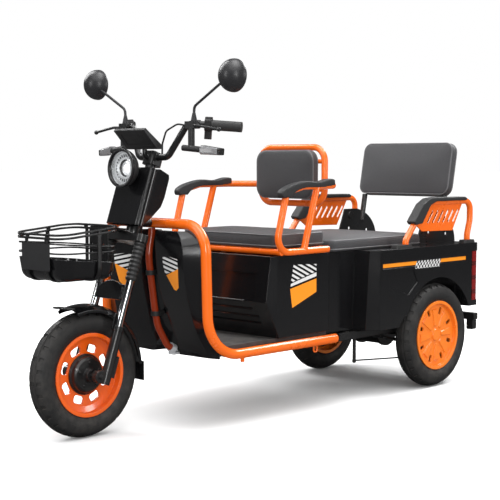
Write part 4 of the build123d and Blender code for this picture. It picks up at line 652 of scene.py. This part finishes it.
# outlines run anticlockwise, as (out from the middle, up) on the shields
SHIELD_FRONT = -0.505
FACES_AHEAD = -0.5
SHIELD_PLOT = [
    (0.0855, 0.512), (0.1595, 0.527), (0.160, 0.5645),
    (0.100, 0.572), (0.0765, 0.566), (0.0755, 0.544),
]
SHIELD_WEDGE = [
    (0.1335, 0.4585), (0.150, 0.470), (0.160, 0.533), (0.091, 0.508), (0.1227, 0.4625),
]
# and as (back from the origin, up) on the seat box and the load box
BOX_PLOT = [(-0.088, 0.462), (0.047, 0.494), (0.047, 0.519), (-0.074, 0.524)]
BOX_WEDGE = [(-0.081, 0.373), (0.047, 0.420), (0.047, 0.468), (-0.092, 0.440)]
BOX_BAND = [(-0.090, 0.448), (0.047, 0.476), (0.047, 0.490), (-0.088, 0.458)]
LOAD_LINE = [(0.345, 0.489), (0.885, 0.489), (0.885, 0.503), (0.345, 0.503)]
LOAD_PATCH = [(0.540, 0.474), (0.700, 0.474), (0.715, 0.503), (0.555, 0.503)]
CHEQUER_SCALE = 105.0
CHEQUER_LEAN = -0.5
CHEQUER_DEPTH = 0.0043

# leg shields: gloss black with a small slanted graphic on each front face
shield_black = gloss_paint(
    "shield gloss black", GLOSS_BLACK, roughness=0.16, coat=0.5, dust_amount=0.12
)
tree = shield_black.tree
side, ahead, height = shield_black.axes()
far = calc(tree, "ABSOLUTE", side)
facing = add_node(tree, "ShaderNodeSeparateXYZ")
tree.links.new(tree.nodes.new("ShaderNodeNewGeometry").outputs["Normal"], facing.inputs[0])
front = product(
    tree, calc(tree, "LESS_THAN", ahead, SHIELD_FRONT),
    calc(tree, "LESS_THAN", facing.outputs["Y"], FACES_AHEAD),
)
bars = shield_black.stripes(far, height, slope=0.2, pitch=0.0152, share=0.56)
plot = shield_black.inside(far, height, SHIELD_PLOT)
wedge = shield_black.inside(far, height, SHIELD_WEDGE)
shield_black.print_on(front, ((product(tree, plot, bars), WHITE), (wedge, AMBER)))

# seat box: the same graphic, larger, on each side
box_black = gloss_paint(
    "seat box gloss black", GLOSS_BLACK, roughness=0.16, coat=0.5, dust_amount=0.12
)
side, ahead, height = box_black.axes()
skin = box_black.outer_sides(side, "seat_box", depth=0.002)
bars = box_black.stripes(ahead, height, slope=0.45, pitch=0.0172, share=0.5)
plot = box_black.inside(ahead, height, BOX_PLOT)
wedge = box_black.inside(ahead, height, BOX_WEDGE)
band = box_black.inside(ahead, height, BOX_BAND)
striped = product(box_black.tree, plot, bars)
box_black.print_on(skin, ((striped, WHITE), (wedge, AMBER), (band, WHITE)))

# load box: an orange line along each side with a chequered patch
load_black = gloss_paint(
    "load box gloss black", GLOSS_BLACK, roughness=0.16, coat=0.5, dust_amount=0.2
)
tree = load_black.tree
side, ahead, height = load_black.axes()
skin = load_black.outer_sides(side, "cargo_box", depth=0.004)
line = load_black.inside(ahead, height, LOAD_LINE)
patch = load_black.inside(ahead, height, LOAD_PATCH)
chequer = add_node(tree, "ShaderNodeTexChecker", Scale=CHEQUER_SCALE)
chequer.inputs["Color1"].default_value = (*WHITE, 1)
chequer.inputs["Color2"].default_value = (*CHEQUER_BLACK, 1)
squares = add_node(tree, "ShaderNodeCombineXYZ")
tree.links.new(calc(tree, "MULTIPLY_ADD", height, CHEQUER_LEAN, ahead), squares.inputs[0])
tree.links.new(height, squares.inputs[1])
squares.inputs[2].default_value = CHEQUER_DEPTH
tree.links.new(squares.outputs[0], chequer.inputs["Vector"])
load_black.print_on(skin, ((line, AMBER), (patch, chequer.outputs["Color"])))


# ------------------------------------------------------------------ which finish goes where

FINISHES = {
    orange_paint: (
        "hoop_left", "hoop_right", "front_armrests", "front_backrest_frame", "rear_armrests",
    ),
    shaded_orange_tube_paint: ("centre_tube",),
    frame_paint: (
        "main_frame", "handlebar", "basket_bracket", "basket_rim", "basket_rings",
        "basket_straps", "floor_frame", "leaf_springs", "rear_axle", "rear_bumper",
        "rear_backrest_brackets", "fork_sliders", "brake_linkage", "front_hub",
    ),
    panel_black: (
        "column_cover", "column_rear", "tailgate", "basket_tray", "fork_cover", "front_fender",
    ),
    mirror_black: ("mirrors",),
    soft_black: (
        "headlight_shell", "instrument_cowl", "hand_controls", "fork_gaiters", "battery",
        "brake_cables", "armrest_shoes", "tube_bands",
    ),
    grip_rubber: ("grips",),
    plate_charcoal: ("front_plate",),
    silver_paint: ("tube_foot",),
    chrome: ("fork_stanchions",),
    signal_lens: ("signal_lenses",),
    red_lens: ("tail_lamps",),
    floor_mat: ("footboard",),
    shield_black: ("front_panels",),
    box_black: ("seat_box",),
    load_black: ("cargo_box",),
}
RIM_COLOURS = {
    "front_rim": FRONT_RIM_ORANGE,
    "rear_rim_left": REAR_RIM_ORANGE,
    "rear_rim_right": REAR_RIM_ORANGE,
}


def dress(piece, finish):
    """Give a piece its finish in every material slot."""
    if not piece.data.materials:
        piece.data.materials.append(finish.material)
    for slot in piece.material_slots:
        slot.material = finish.material


for finish, names in FINISHES.items():
    for name in names:
        dress(nodes[name], finish)
for name, colour in RIM_COLOURS.items():
    dress(nodes[name], rim_paint(name.replace("_", " ") + " paint", name, colour))


# ------------------------------------------------------------------ tyres

TREAD_STEPS = 96
TREAD_SMOOTH = 30.0
GROOVE_DEPTH = 0.004
GROOVE = (0.0145, 0.0105)
CENTRE_RIB = 0.0085
SHOULDER_CUT = 0.0165
SHOULDER_RINGS = (0.027, 0.022, SHOULDER_CUT)
SHOULDER_INSET = 0.007
SHOULDER_DROP = 0.013
BEAD_RADIUS = 0.128
BEAD_INSET = 0.009
WALL_FOOT, WALL_BULGE = 0.136, 0.164
WALL_POINTS = 9
CUT_DEPTH = 0.0032
CUT_START = 0.014
CUT_LIMIT = 0.006
RIB_CROWN = 0.002
RIB_MARGIN = 0.0001
SHOULDER_EVERY, RIB_EVERY = 3, 6


def crown_radius(across, half, radius):
    """Radius of the rounded tread at a distance from the wheel's middle plane."""
    shoulder = half - SHOULDER_INSET
    bend = (shoulder * shoulder + SHOULDER_DROP * SHOULDER_DROP) / (2 * SHOULDER_DROP)
    return radius - bend + math.sqrt(bend * bend - across * across)


def tyre_profile(half, radius):
    """The tyre's closed section, with a groove on each side of the centre rib."""
    wall = arc(
        (WALL_FOOT, half - BEAD_INSET), (WALL_BULGE, half),
        (radius - SHOULDER_DROP, half - SHOULDER_INSET), WALL_POINTS,
    )
    outer = [(across, r) for r, across in wall]
    outer += [(across, crown_radius(across, half, radius)) for across in SHOULDER_RINGS]
    outer += [(across, crown_radius(across, half, radius) - GROOVE_DEPTH) for across in GROOVE]
    outer += [(CENTRE_RIB, crown_radius(CENTRE_RIB, half, radius)), (0.0, radius)]
    mirrored = [(-across, r) for across, r in reversed(outer[:-1])]
    bead = (half - BEAD_INSET, BEAD_RADIUS)
    return [bead] + outer + mirrored + [(-bead[0], BEAD_RADIUS), bead]


def make_tyre(node, body):
    """A tyre with round grooves and with cuts across its shoulders and centre rib."""
    low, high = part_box(node)
    centre = (low + high) / 2
    half = (high.x - low.x) / 2
    radius = (high.z - low.z) / 2
    tyre = lathe(
        node + "_tread", tyre_profile(half, radius), centre, (1, 0, 0), TREAD_STEPS, TREAD_SMOOTH
    )

    mesh = bmesh.new()
    mesh.from_mesh(tyre.data)
    for face in mesh.faces:
        spot = face.calc_center_median() - centre
        step = int((math.atan2(spot.z, spot.y) / (2 * math.pi) + 0.5) * TREAD_STEPS)
        across = abs(spot.x)
        reach = math.hypot(spot.y, spot.z)
        on_shoulder = SHOULDER_CUT < across < half - CUT_LIMIT and reach > radius - CUT_START
        on_rib = across < CENTRE_RIB - RIB_MARGIN and reach > radius - RIB_CROWN
        face.select = (on_shoulder and step % SHOULDER_EVERY == 0) or (
            on_rib and step % RIB_EVERY == 0
        )
    mesh.select_flush_mode()
    mesh.to_mesh(tyre.data)
    mesh.free()
    choose(tyre)
    bpy.ops.object.mode_set(mode="EDIT")
    bpy.ops.mesh.extrude_region_move()
    bpy.ops.transform.shrink_fatten(value=-CUT_DEPTH)
    bpy.ops.object.mode_set(mode="OBJECT")
    settle(tyre, TREAD_SMOOTH)
    dress(tyre, tyre_rubber(node.replace("_", " ") + " rubber", node))
    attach(tyre, body)
    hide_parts(node)


for node, body in (
    ("front_tyre", "front_wheel"),
    ("rear_tyre_left", "rear_wheel_left"),
    ("rear_tyre_right", "rear_wheel_right"),
):
    make_tyre(node, body)


# brake drums close the rear wheels behind their dishes
DRUM_R = 0.108
DRUM_FACE_R = 0.104
DRUM_BACK, DRUM_FACE = -0.012, 0.009
DRUM_EDGE = 0.003
DRUM_STEPS = 64
DRUM_PROFILE = [
    (DRUM_BACK, 0.0), (DRUM_BACK, DRUM_FACE_R), (DRUM_BACK + DRUM_EDGE, DRUM_R),
    (DRUM_FACE - DRUM_EDGE, DRUM_R), (DRUM_FACE, DRUM_FACE_R), (DRUM_FACE, 0.0),
]
for side, label in ((1, "left"), (-1, "right")):
    spot = middle("rear_rim_" + label)
    drum = lathe("brake_drum_" + label, DRUM_PROFILE, spot, (side, 0, 0), DRUM_STEPS)
    dress(drum, frame_paint)
    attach(drum, "rear_wheel_" + label)


# ------------------------------------------------------------------ upholstery

CUSHION_FRAMES = 20
PRESSURE = 4.0
CLOTH_QUALITY = 5
SEAM_TURN = 0.93
BOARD_TURN = 0.9
EDGE_SPARE = 0.005
BOARD_SPARE = 0.003
CORD_WELD = 0.0015
CORD_ROUNDNESS = 2
CORD_R = 0.0022
HEAVY_CORD_R = 0.003
SKIN_SMOOTH, PAD_SMOOTH = 60.0, 50.0


def extents(piece):
    """Lowest and highest corner of a piece's own mesh."""
    points = [v.co for v in piece.data.vertices]
    return [
        Vector([pick(point[axis] for point in points) for axis in range(3)]) for pick in (min, max)
    ]


def soft_copy(node, name, voxel, shrink, turn=Matrix.Identity(4)):
    """A fresh, evenly meshed copy of a CAD cushion, turned upright and a little smaller."""
    piece = bpy.data.objects.new(name, nodes[node].data.copy())
    scene.collection.objects.link(piece)
    piece.data.materials.clear()
    outward(piece)
    piece.data.transform(turn)
    low, high = extents(piece)
    centre = (low + high) / 2
    scale = Matrix.Diagonal([(s - 2 * less) / s for s, less in zip(high - low, shrink)]).to_4x4()
    piece.data.transform(Matrix.Translation(centre) @ scale @ Matrix.Translation(-centre))
    apply_modifier(piece, "REMESH", "even mesh", mode="VOXEL", voxel_size=voxel)
    return piece, low, high


def hold_seams(piece, flat_axis, flat_side):
    """Mark the sewn edges and the backing board, which the stuffing can't move."""
    seams = piece.vertex_groups.new(name="seams")
    held = [
        v.index for v in piece.data.vertices
        if max(abs(c) for c in v.normal) < SEAM_TURN
        or v.normal[flat_axis] * flat_side > BOARD_TURN
    ]
    seams.add(held, 1.0, "REPLACE")


def inflate(piece, cap):
    """Swell the piece with cloth pressure, no point moving further than the cap."""
    start = [v.co.copy() for v in piece.data.vertices]
    cloth = piece.modifiers.new("stuffing", "CLOTH")
    cloth.settings.use_pressure = True
    cloth.settings.uniform_pressure_force = PRESSURE
    cloth.settings.effector_weights.gravity = 0.0
    cloth.settings.vertex_group_mass = "seams"
    cloth.settings.quality = CLOTH_QUALITY
    cloth.point_cache.frame_start = 1
    cloth.point_cache.frame_end = CUSHION_FRAMES
    for number in range(1, CUSHION_FRAMES + 1):
        scene.frame_set(number)
    choose(piece)
    bpy.ops.object.modifier_apply(modifier="stuffing")
    scene.frame_set(1)
    for vertex, before in zip(piece.data.vertices, start):
        step = vertex.co - before
        if step.length > cap:
            vertex.co = before + step * (cap / step.length)


def fit_into(piece, low, high, spare, flat_axis, flat_side):
    """Press the backing side flat, then size the swollen piece to the cushion's own space."""
    points = piece.data.vertices
    backing = (low if flat_side < 0 else high)[flat_axis] - flat_side * BOARD_SPARE
    for vertex in points:
        if flat_side * (vertex.co[flat_axis] - backing) > 0:
            vertex.co[flat_axis] = backing
    first, last = extents(piece)
    start, end = low - Vector(spare), high + Vector(spare)
    (start if flat_side < 0 else end)[flat_axis] = (low if flat_side < 0 else high)[flat_axis]
    for vertex in points:
        for axis in range(3):
            gain = (end[axis] - start[axis]) / (last[axis] - first[axis])
            vertex.co[axis] = start[axis] + (vertex.co[axis] - first[axis]) * gain


def piping(source, name, place, normal, radius, body):
    """A round cord sewn along the line where a plane cuts the cushion."""
    cord = bpy.data.objects.new(name, source.data.copy())
    scene.collection.objects.link(cord)
    choose(cord)
    bpy.ops.object.mode_set(mode="EDIT")
    bpy.ops.mesh.select_all(action="SELECT")
    bpy.ops.mesh.bisect(plane_co=place, plane_no=normal, clear_inner=True, clear_outer=True)
    bpy.ops.mesh.select_all(action="SELECT")
    bpy.ops.mesh.remove_doubles(threshold=CORD_WELD)
    bpy.ops.object.mode_set(mode="OBJECT")
    bpy.ops.object.convert(target="CURVE")
    cord = bpy.context.object
    cord.data.bevel_depth = radius
    cord.data.bevel_resolution = CORD_ROUNDNESS
    bpy.ops.object.convert(target="MESH")
    cord = bpy.context.object
    cord.name = name
    cord.data.materials.clear()
    settle(cord, SKIN_SMOOTH)
    dress(cord, piping_skin_with_highlight)
    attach(cord, body)


def round_corners(piece, low, high, across, up, radius):
    """Pull the four corners of a panel in to a rounder outline."""
    centre, half = (low + high) / 2, (high - low) / 2
    for vertex in piece.data.vertices:
        x = abs(vertex.co[across] - centre[across]) - (half[across] - radius)
        z = abs(vertex.co[up] - centre[up]) - (half[up] - radius)
        reach = math.hypot(x, z)
        if x > 0 and z > 0 and reach > radius:
            for axis, depth in ((across, x), (up, z)):
                side = math.copysign(1, vertex.co[axis] - centre[axis])
                kept = half[axis] - radius + depth * radius / reach
                vertex.co[axis] = centre[axis] + side * kept


def make_cushion(node, name, body, voxel, cap, spare, flat, lean=0.0, corner=0.0):
    """A stuffed cushion in place of its CAD block; flat is its board's axis and side."""
    centre = middle(node)
    spin = Matrix.Rotation(math.radians(lean), 4, "X")
    turn = Matrix.Translation(centre) @ spin @ Matrix.Translation(-centre)
    shrink = [EDGE_SPARE] * 3
    shrink[flat[0]] = BOARD_SPARE
    piece, low, high = soft_copy(node, name, voxel, shrink, turn)
    hold_seams(piece, *flat)
    inflate(piece, cap)
    fit_into(piece, low, high, spare, *flat)
    if corner:
        round_corners(piece, low, high, 0, 2, corner)
    apply_modifier(piece, "SMOOTH", "soft edges", factor=0.5, iterations=3)
    apply_modifier(piece, "SUBSURF", "fine skin", levels=1, render_levels=1)
    piece.data.transform(turn.inverted())
    settle(piece, SKIN_SMOOTH)
    dress(piece, leatherette)
    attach(piece, body)
    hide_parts(node)
    return piece


def soft_pad(node, name, body, voxel, rounds):
    """A foam armrest pad with its edges rubbed round."""
    piece, _, _ = soft_copy(node, name, voxel, (0, 0, 0))
    apply_modifier(piece, "SMOOTH", "rubbed edges", factor=0.6, iterations=rounds)
    settle(piece, PAD_SMOOTH)
    dress(piece, pad_skin)
    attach(piece, body)
    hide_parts(node)


BENCH_LEAN = 11.3
UNDERSIDE, BACK_FACE = (2, -1), (1, 1)

rider_seat = make_cushion(
    "front_cushion", "rider_cushion", "front_seat",
    voxel=0.005, cap=0.016, spare=(0.002, 0.002, 0.006), flat=UNDERSIDE,
)
bench_seat = make_cushion(
    "rear_cushion", "bench_cushion", "rear_seat",
    voxel=0.0065, cap=0.016, spare=(0.002, 0.001, 0.006), flat=UNDERSIDE,
)
rider_back = make_cushion(
    "front_backrest_pad", "rider_back_cushion", "chassis",
    voxel=0.005, cap=0.012, spare=(0.001, 0.004, 0.001), flat=BACK_FACE,
)
bench_back = make_cushion(
    "rear_backrest_pad", "bench_back_cushion", "chassis",
    voxel=0.005, cap=0.012, spare=(0.001, 0.003, 0.001), flat=BACK_FACE,
    lean=BENCH_LEAN, corner=0.04,
)

# cords sewn round the cushions, by their share of the height or their depth
for source, node, body in (
    (rider_seat, "front_cushion", "front_seat"), (bench_seat, "rear_cushion", "rear_seat")
):
    low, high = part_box(node)
    for label, share in (("upper", 0.84), ("lower", 0.16)):
        place = Vector((0, (low.y + high.y) / 2, low.z + (high.z - low.z) * share))
        piping(source, node + "_piping_" + label, place, (0, 0, 1), CORD_R, body)

low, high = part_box("front_backrest_pad")
for label, depth in (("front", 0.007), ("back", 0.031)):
    place = Vector((0, low.y + depth, 0))
    piping(rider_back, "rider_back_piping_" + label, place, (0, 1, 0), CORD_R, "chassis")
lean_normal = Matrix.Rotation(math.radians(-BENCH_LEAN), 3, "X") @ Vector((0, 1, 0))
for label, depth in (("front", -0.015), ("back", 0.013)):
    place = middle("rear_backrest_pad") + lean_normal * depth
    piping(bench_back, "bench_back_piping_" + label, place, lean_normal, HEAVY_CORD_R, "chassis")

soft_pad("front_armrest_pads", "front_armrest_foam", "chassis", voxel=0.003, rounds=5)
soft_pad("rear_armrest_pads", "rear_armrest_foam", "chassis", voxel=0.003, rounds=5)


# ------------------------------------------------------------------ headlight

lamp_low, lamp_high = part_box("headlight_lens")
LAMP_R = (lamp_high.x - lamp_low.x) / 2
LAMP_STEPS = 72
LENS_BULGE = 0.013
LENS_WALL = 0.0022
LENS_AHEAD, BEZEL_AHEAD, BULB_BEHIND = 0.004, 0.009, 0.014
BULB_STEPS = 32
REFLECTOR_SMOOTH = 25.0
lamp_axis = Vector((0, -1, 0.05)).normalized()
lens_back = Vector((0, lamp_high.y, lamp_centre.z))

lens_shell = arc((0.0, LAMP_R), (0.009, LAMP_R * 0.62), (LENS_BULGE, 0.0), 12)
inner_shell = [(along - LENS_WALL, max(0.0, r - 0.001)) for along, r in reversed(lens_shell)]
lamp_lens = lathe(
    "lamp_lens", lens_shell + inner_shell + [lens_shell[0]],
    lens_back + lamp_axis * LENS_AHEAD, lamp_axis, LAMP_STEPS,
)
dress(lamp_lens, lamp_glass)
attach(lamp_lens, "chassis")
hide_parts("headlight_lens")

# the bowl's steps, as (along the lamp's axis, share of the lamp's radius)
BOWL = (
    (0.0, 0.93), (0.0, 0.80), (-0.006, 0.78), (-0.007, 0.62), (-0.001, 0.60), (-0.002, 0.52),
    (-0.010, 0.47), (-0.017, 0.34), (-0.021, 0.2), (-0.022, 0.0),
)
bowl = [(0.004, LAMP_R - 0.001)] + [(along, LAMP_R * share) for along, share in BOWL]
reflector = lathe("lamp_reflector", bowl, lens_back, lamp_axis, LAMP_STEPS, REFLECTOR_SMOOTH)
dress(reflector, lamp_mirror)
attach(reflector, "chassis")

bezel_arc = arc((-0.004, LAMP_R + 0.0004), (0.006, LAMP_R + 0.003), (-0.002, LAMP_R + 0.0052), 9)
bezel = lathe(
    "lamp_bezel", bezel_arc + [bezel_arc[0]], lens_back + lamp_axis * BEZEL_AHEAD, lamp_axis,
    LAMP_STEPS,
)
dress(bezel, panel_black)
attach(bezel, "chassis")

bulb_arc = arc((-0.004, 0.0145), (0.007, 0.011), (0.012, 0.0), 10)
bulb = lathe(
    "lamp_bulb", [(-0.004, 0.0)] + bulb_arc, lens_back - lamp_axis * BULB_BEHIND, lamp_axis,
    BULB_STEPS,
)
dress(bulb, frosted)
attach(bulb, "chassis")


# ------------------------------------------------------------------ mirrors

_, mirror_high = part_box("mirrors")
MIRROR_R = 0.052
MIRROR_DEPTH = 0.052
MIRROR_STEPS = 64
SHELL_SPARE = 0.0012
SHELL_START = 0.004
DOME_POINTS = 15
RIM_INSET = 0.004
GLASS_BACK = -0.0022

quarter_turn = [math.pi / 2 * i / (DOME_POINTS - 1) for i in range(DOME_POINTS)]
dome = [
    (SHELL_START + (MIRROR_DEPTH - SHELL_START) * math.sin(turn),
     (MIRROR_R + SHELL_SPARE) * math.cos(turn))
    for turn in quarter_turn[:-1]
]
rim = [
    (0.002, 0.0), (0.002, MIRROR_R - RIM_INSET), (-0.0006, MIRROR_R - 0.003),
    (-0.0006, MIRROR_R + 0.0006), (0.0004, MIRROR_R + SHELL_SPARE),
]
shell_profile = rim + dome + [(MIRROR_DEPTH, 0.0)]
glass_edge = MIRROR_R - RIM_INSET
face = arc((-0.0016, glass_edge), (0.0002, MIRROR_R * 0.5), (0.0006, 0.0), 8)
glass_profile = [(GLASS_BACK, 0.0), (GLASS_BACK, glass_edge)] + face
for side, label in ((1, "left"), (-1, "right")):
    spot = Vector((side * (mirror_high.x - MIRROR_R), mirror_high.y, mirror_high.z - MIRROR_R))
    shell = lathe("mirror_shell_" + label, shell_profile, spot, (0, -1, 0), MIRROR_STEPS)
    dress(shell, mirror_black)
    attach(shell, "steering")
    glass = lathe("mirror_glass_" + label, glass_profile, spot, (0, 1, 0), MIRROR_STEPS)
    dress(glass, chrome)
    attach(glass, "steering")


# ------------------------------------------------------------------ studio

FLOOR_SIZE = 160.0
FLOOR_PALE, FLOOR_DIM = 0.93, 0.06
FLOOR_BOUNCE = 0.4
SKY_DIFFUSE, SKY_FLOOR = 0.45, 0.09

scene.view_settings.view_transform = "Standard"
scene.view_settings.look = "None"

# the paper is pale to the camera and dimmer to the light that it throws back
paper = bpy.data.materials.new("pale floor paper")
paper.use_nodes = True
paper_tree = paper.node_tree
paper_shader = paper_tree.nodes["Principled BSDF"]
paper_shader.inputs["Roughness"].default_value = 0.95
paper_shader.inputs["Specular IOR Level"].default_value = 0.0
seen = add_node(paper_tree, "ShaderNodeMix", data_type="RGBA")
seen.inputs[MIX_FIRST].default_value = (FLOOR_DIM, FLOOR_DIM, FLOOR_DIM, 1)
seen.inputs[MIX_SECOND].default_value = (FLOOR_PALE, FLOOR_PALE, FLOOR_PALE, 1)
path = paper_tree.nodes.new("ShaderNodeLightPath")
bounce = calc(paper_tree, "MULTIPLY", path.outputs["Is Diffuse Ray"], FLOOR_BOUNCE)
bright = calc(paper_tree, "MAXIMUM", path.outputs["Is Camera Ray"], bounce)
paper_tree.links.new(bright, seen.inputs[MIX_FACTOR])
paper_tree.links.new(seen.outputs[MIX_COLOUR], paper_shader.inputs["Base Color"])

deselect()
bpy.ops.mesh.primitive_plane_add(size=FLOOR_SIZE, location=(0, 0, 0))
floor = bpy.context.object
floor.name = "studio_floor"
floor.data.materials.append(paper)

world = bpy.data.worlds.new("studio")
scene.world = world
world.use_nodes = True
sky = world.node_tree
background = sky.nodes["Background"]
background.inputs["Color"].default_value = (1, 1, 1, 1)
path = sky.nodes.new("ShaderNodeLightPath")
dimmed = calc(sky, "MULTIPLY_ADD", path.outputs["Is Diffuse Ray"], SKY_DIFFUSE, SKY_FLOOR)
sky_light = calc(sky, "MAXIMUM", path.outputs["Is Camera Ray"], dimmed)
sky.links.new(sky_light, background.inputs["Strength"])


def softbox(name, place, target, size, power):
    """A large rectangular lamp aimed at a point."""
    deselect()
    aim = (Vector(target) - Vector(place)).to_track_quat("-Z", "Y").to_euler()
    bpy.ops.object.light_add(type="AREA", location=place, rotation=aim)
    lamp = bpy.context.object
    lamp.name = name
    lamp.data.shape = "RECTANGLE"
    lamp.data.size, lamp.data.size_y = size
    lamp.data.energy = power


def broad_sun(name, direction, strength, spread):
    """Even light from one side of the studio."""
    deselect()
    aim = Vector(direction).to_track_quat("-Z", "Y").to_euler()
    bpy.ops.object.light_add(type="SUN", location=(0, 0, 5), rotation=aim)
    lamp = bpy.context.object
    lamp.name = name
    lamp.data.energy = strength
    lamp.data.angle = math.radians(spread)


broad_sun("ceiling_light", direction=(-0.25, 0.35, -1.0), strength=2.1, spread=80)
for name, place, target, size, power in (
    ("top_box", (0.4, -0.4, 3.4), (0, 0, 0.4), (1.2, 2.4), 40),
    ("rear_top_box", (0.5, 3.3, 3.5), (0, 0.3, 0.5), (3.0, 1.2), 150),
    ("far_top_box", (-3.4, -0.3, 3.5), (0, 0, 0.5), (1.2, 3.0), 110),
    ("camera_box", (4.6, -4.1, 1.7), (0, 0, 0.5), (0.6, 2.4), 90),
    ("side_box", (4.6, 2.4, 1.6), (0, 0.2, 0.5), (0.7, 2.2), 45),
    ("front_box", (-1.6, -4.6, 1.8), (0, 0, 0.5), (0.6, 2.2), 35),
):
    softbox(name, place, target, size, power)
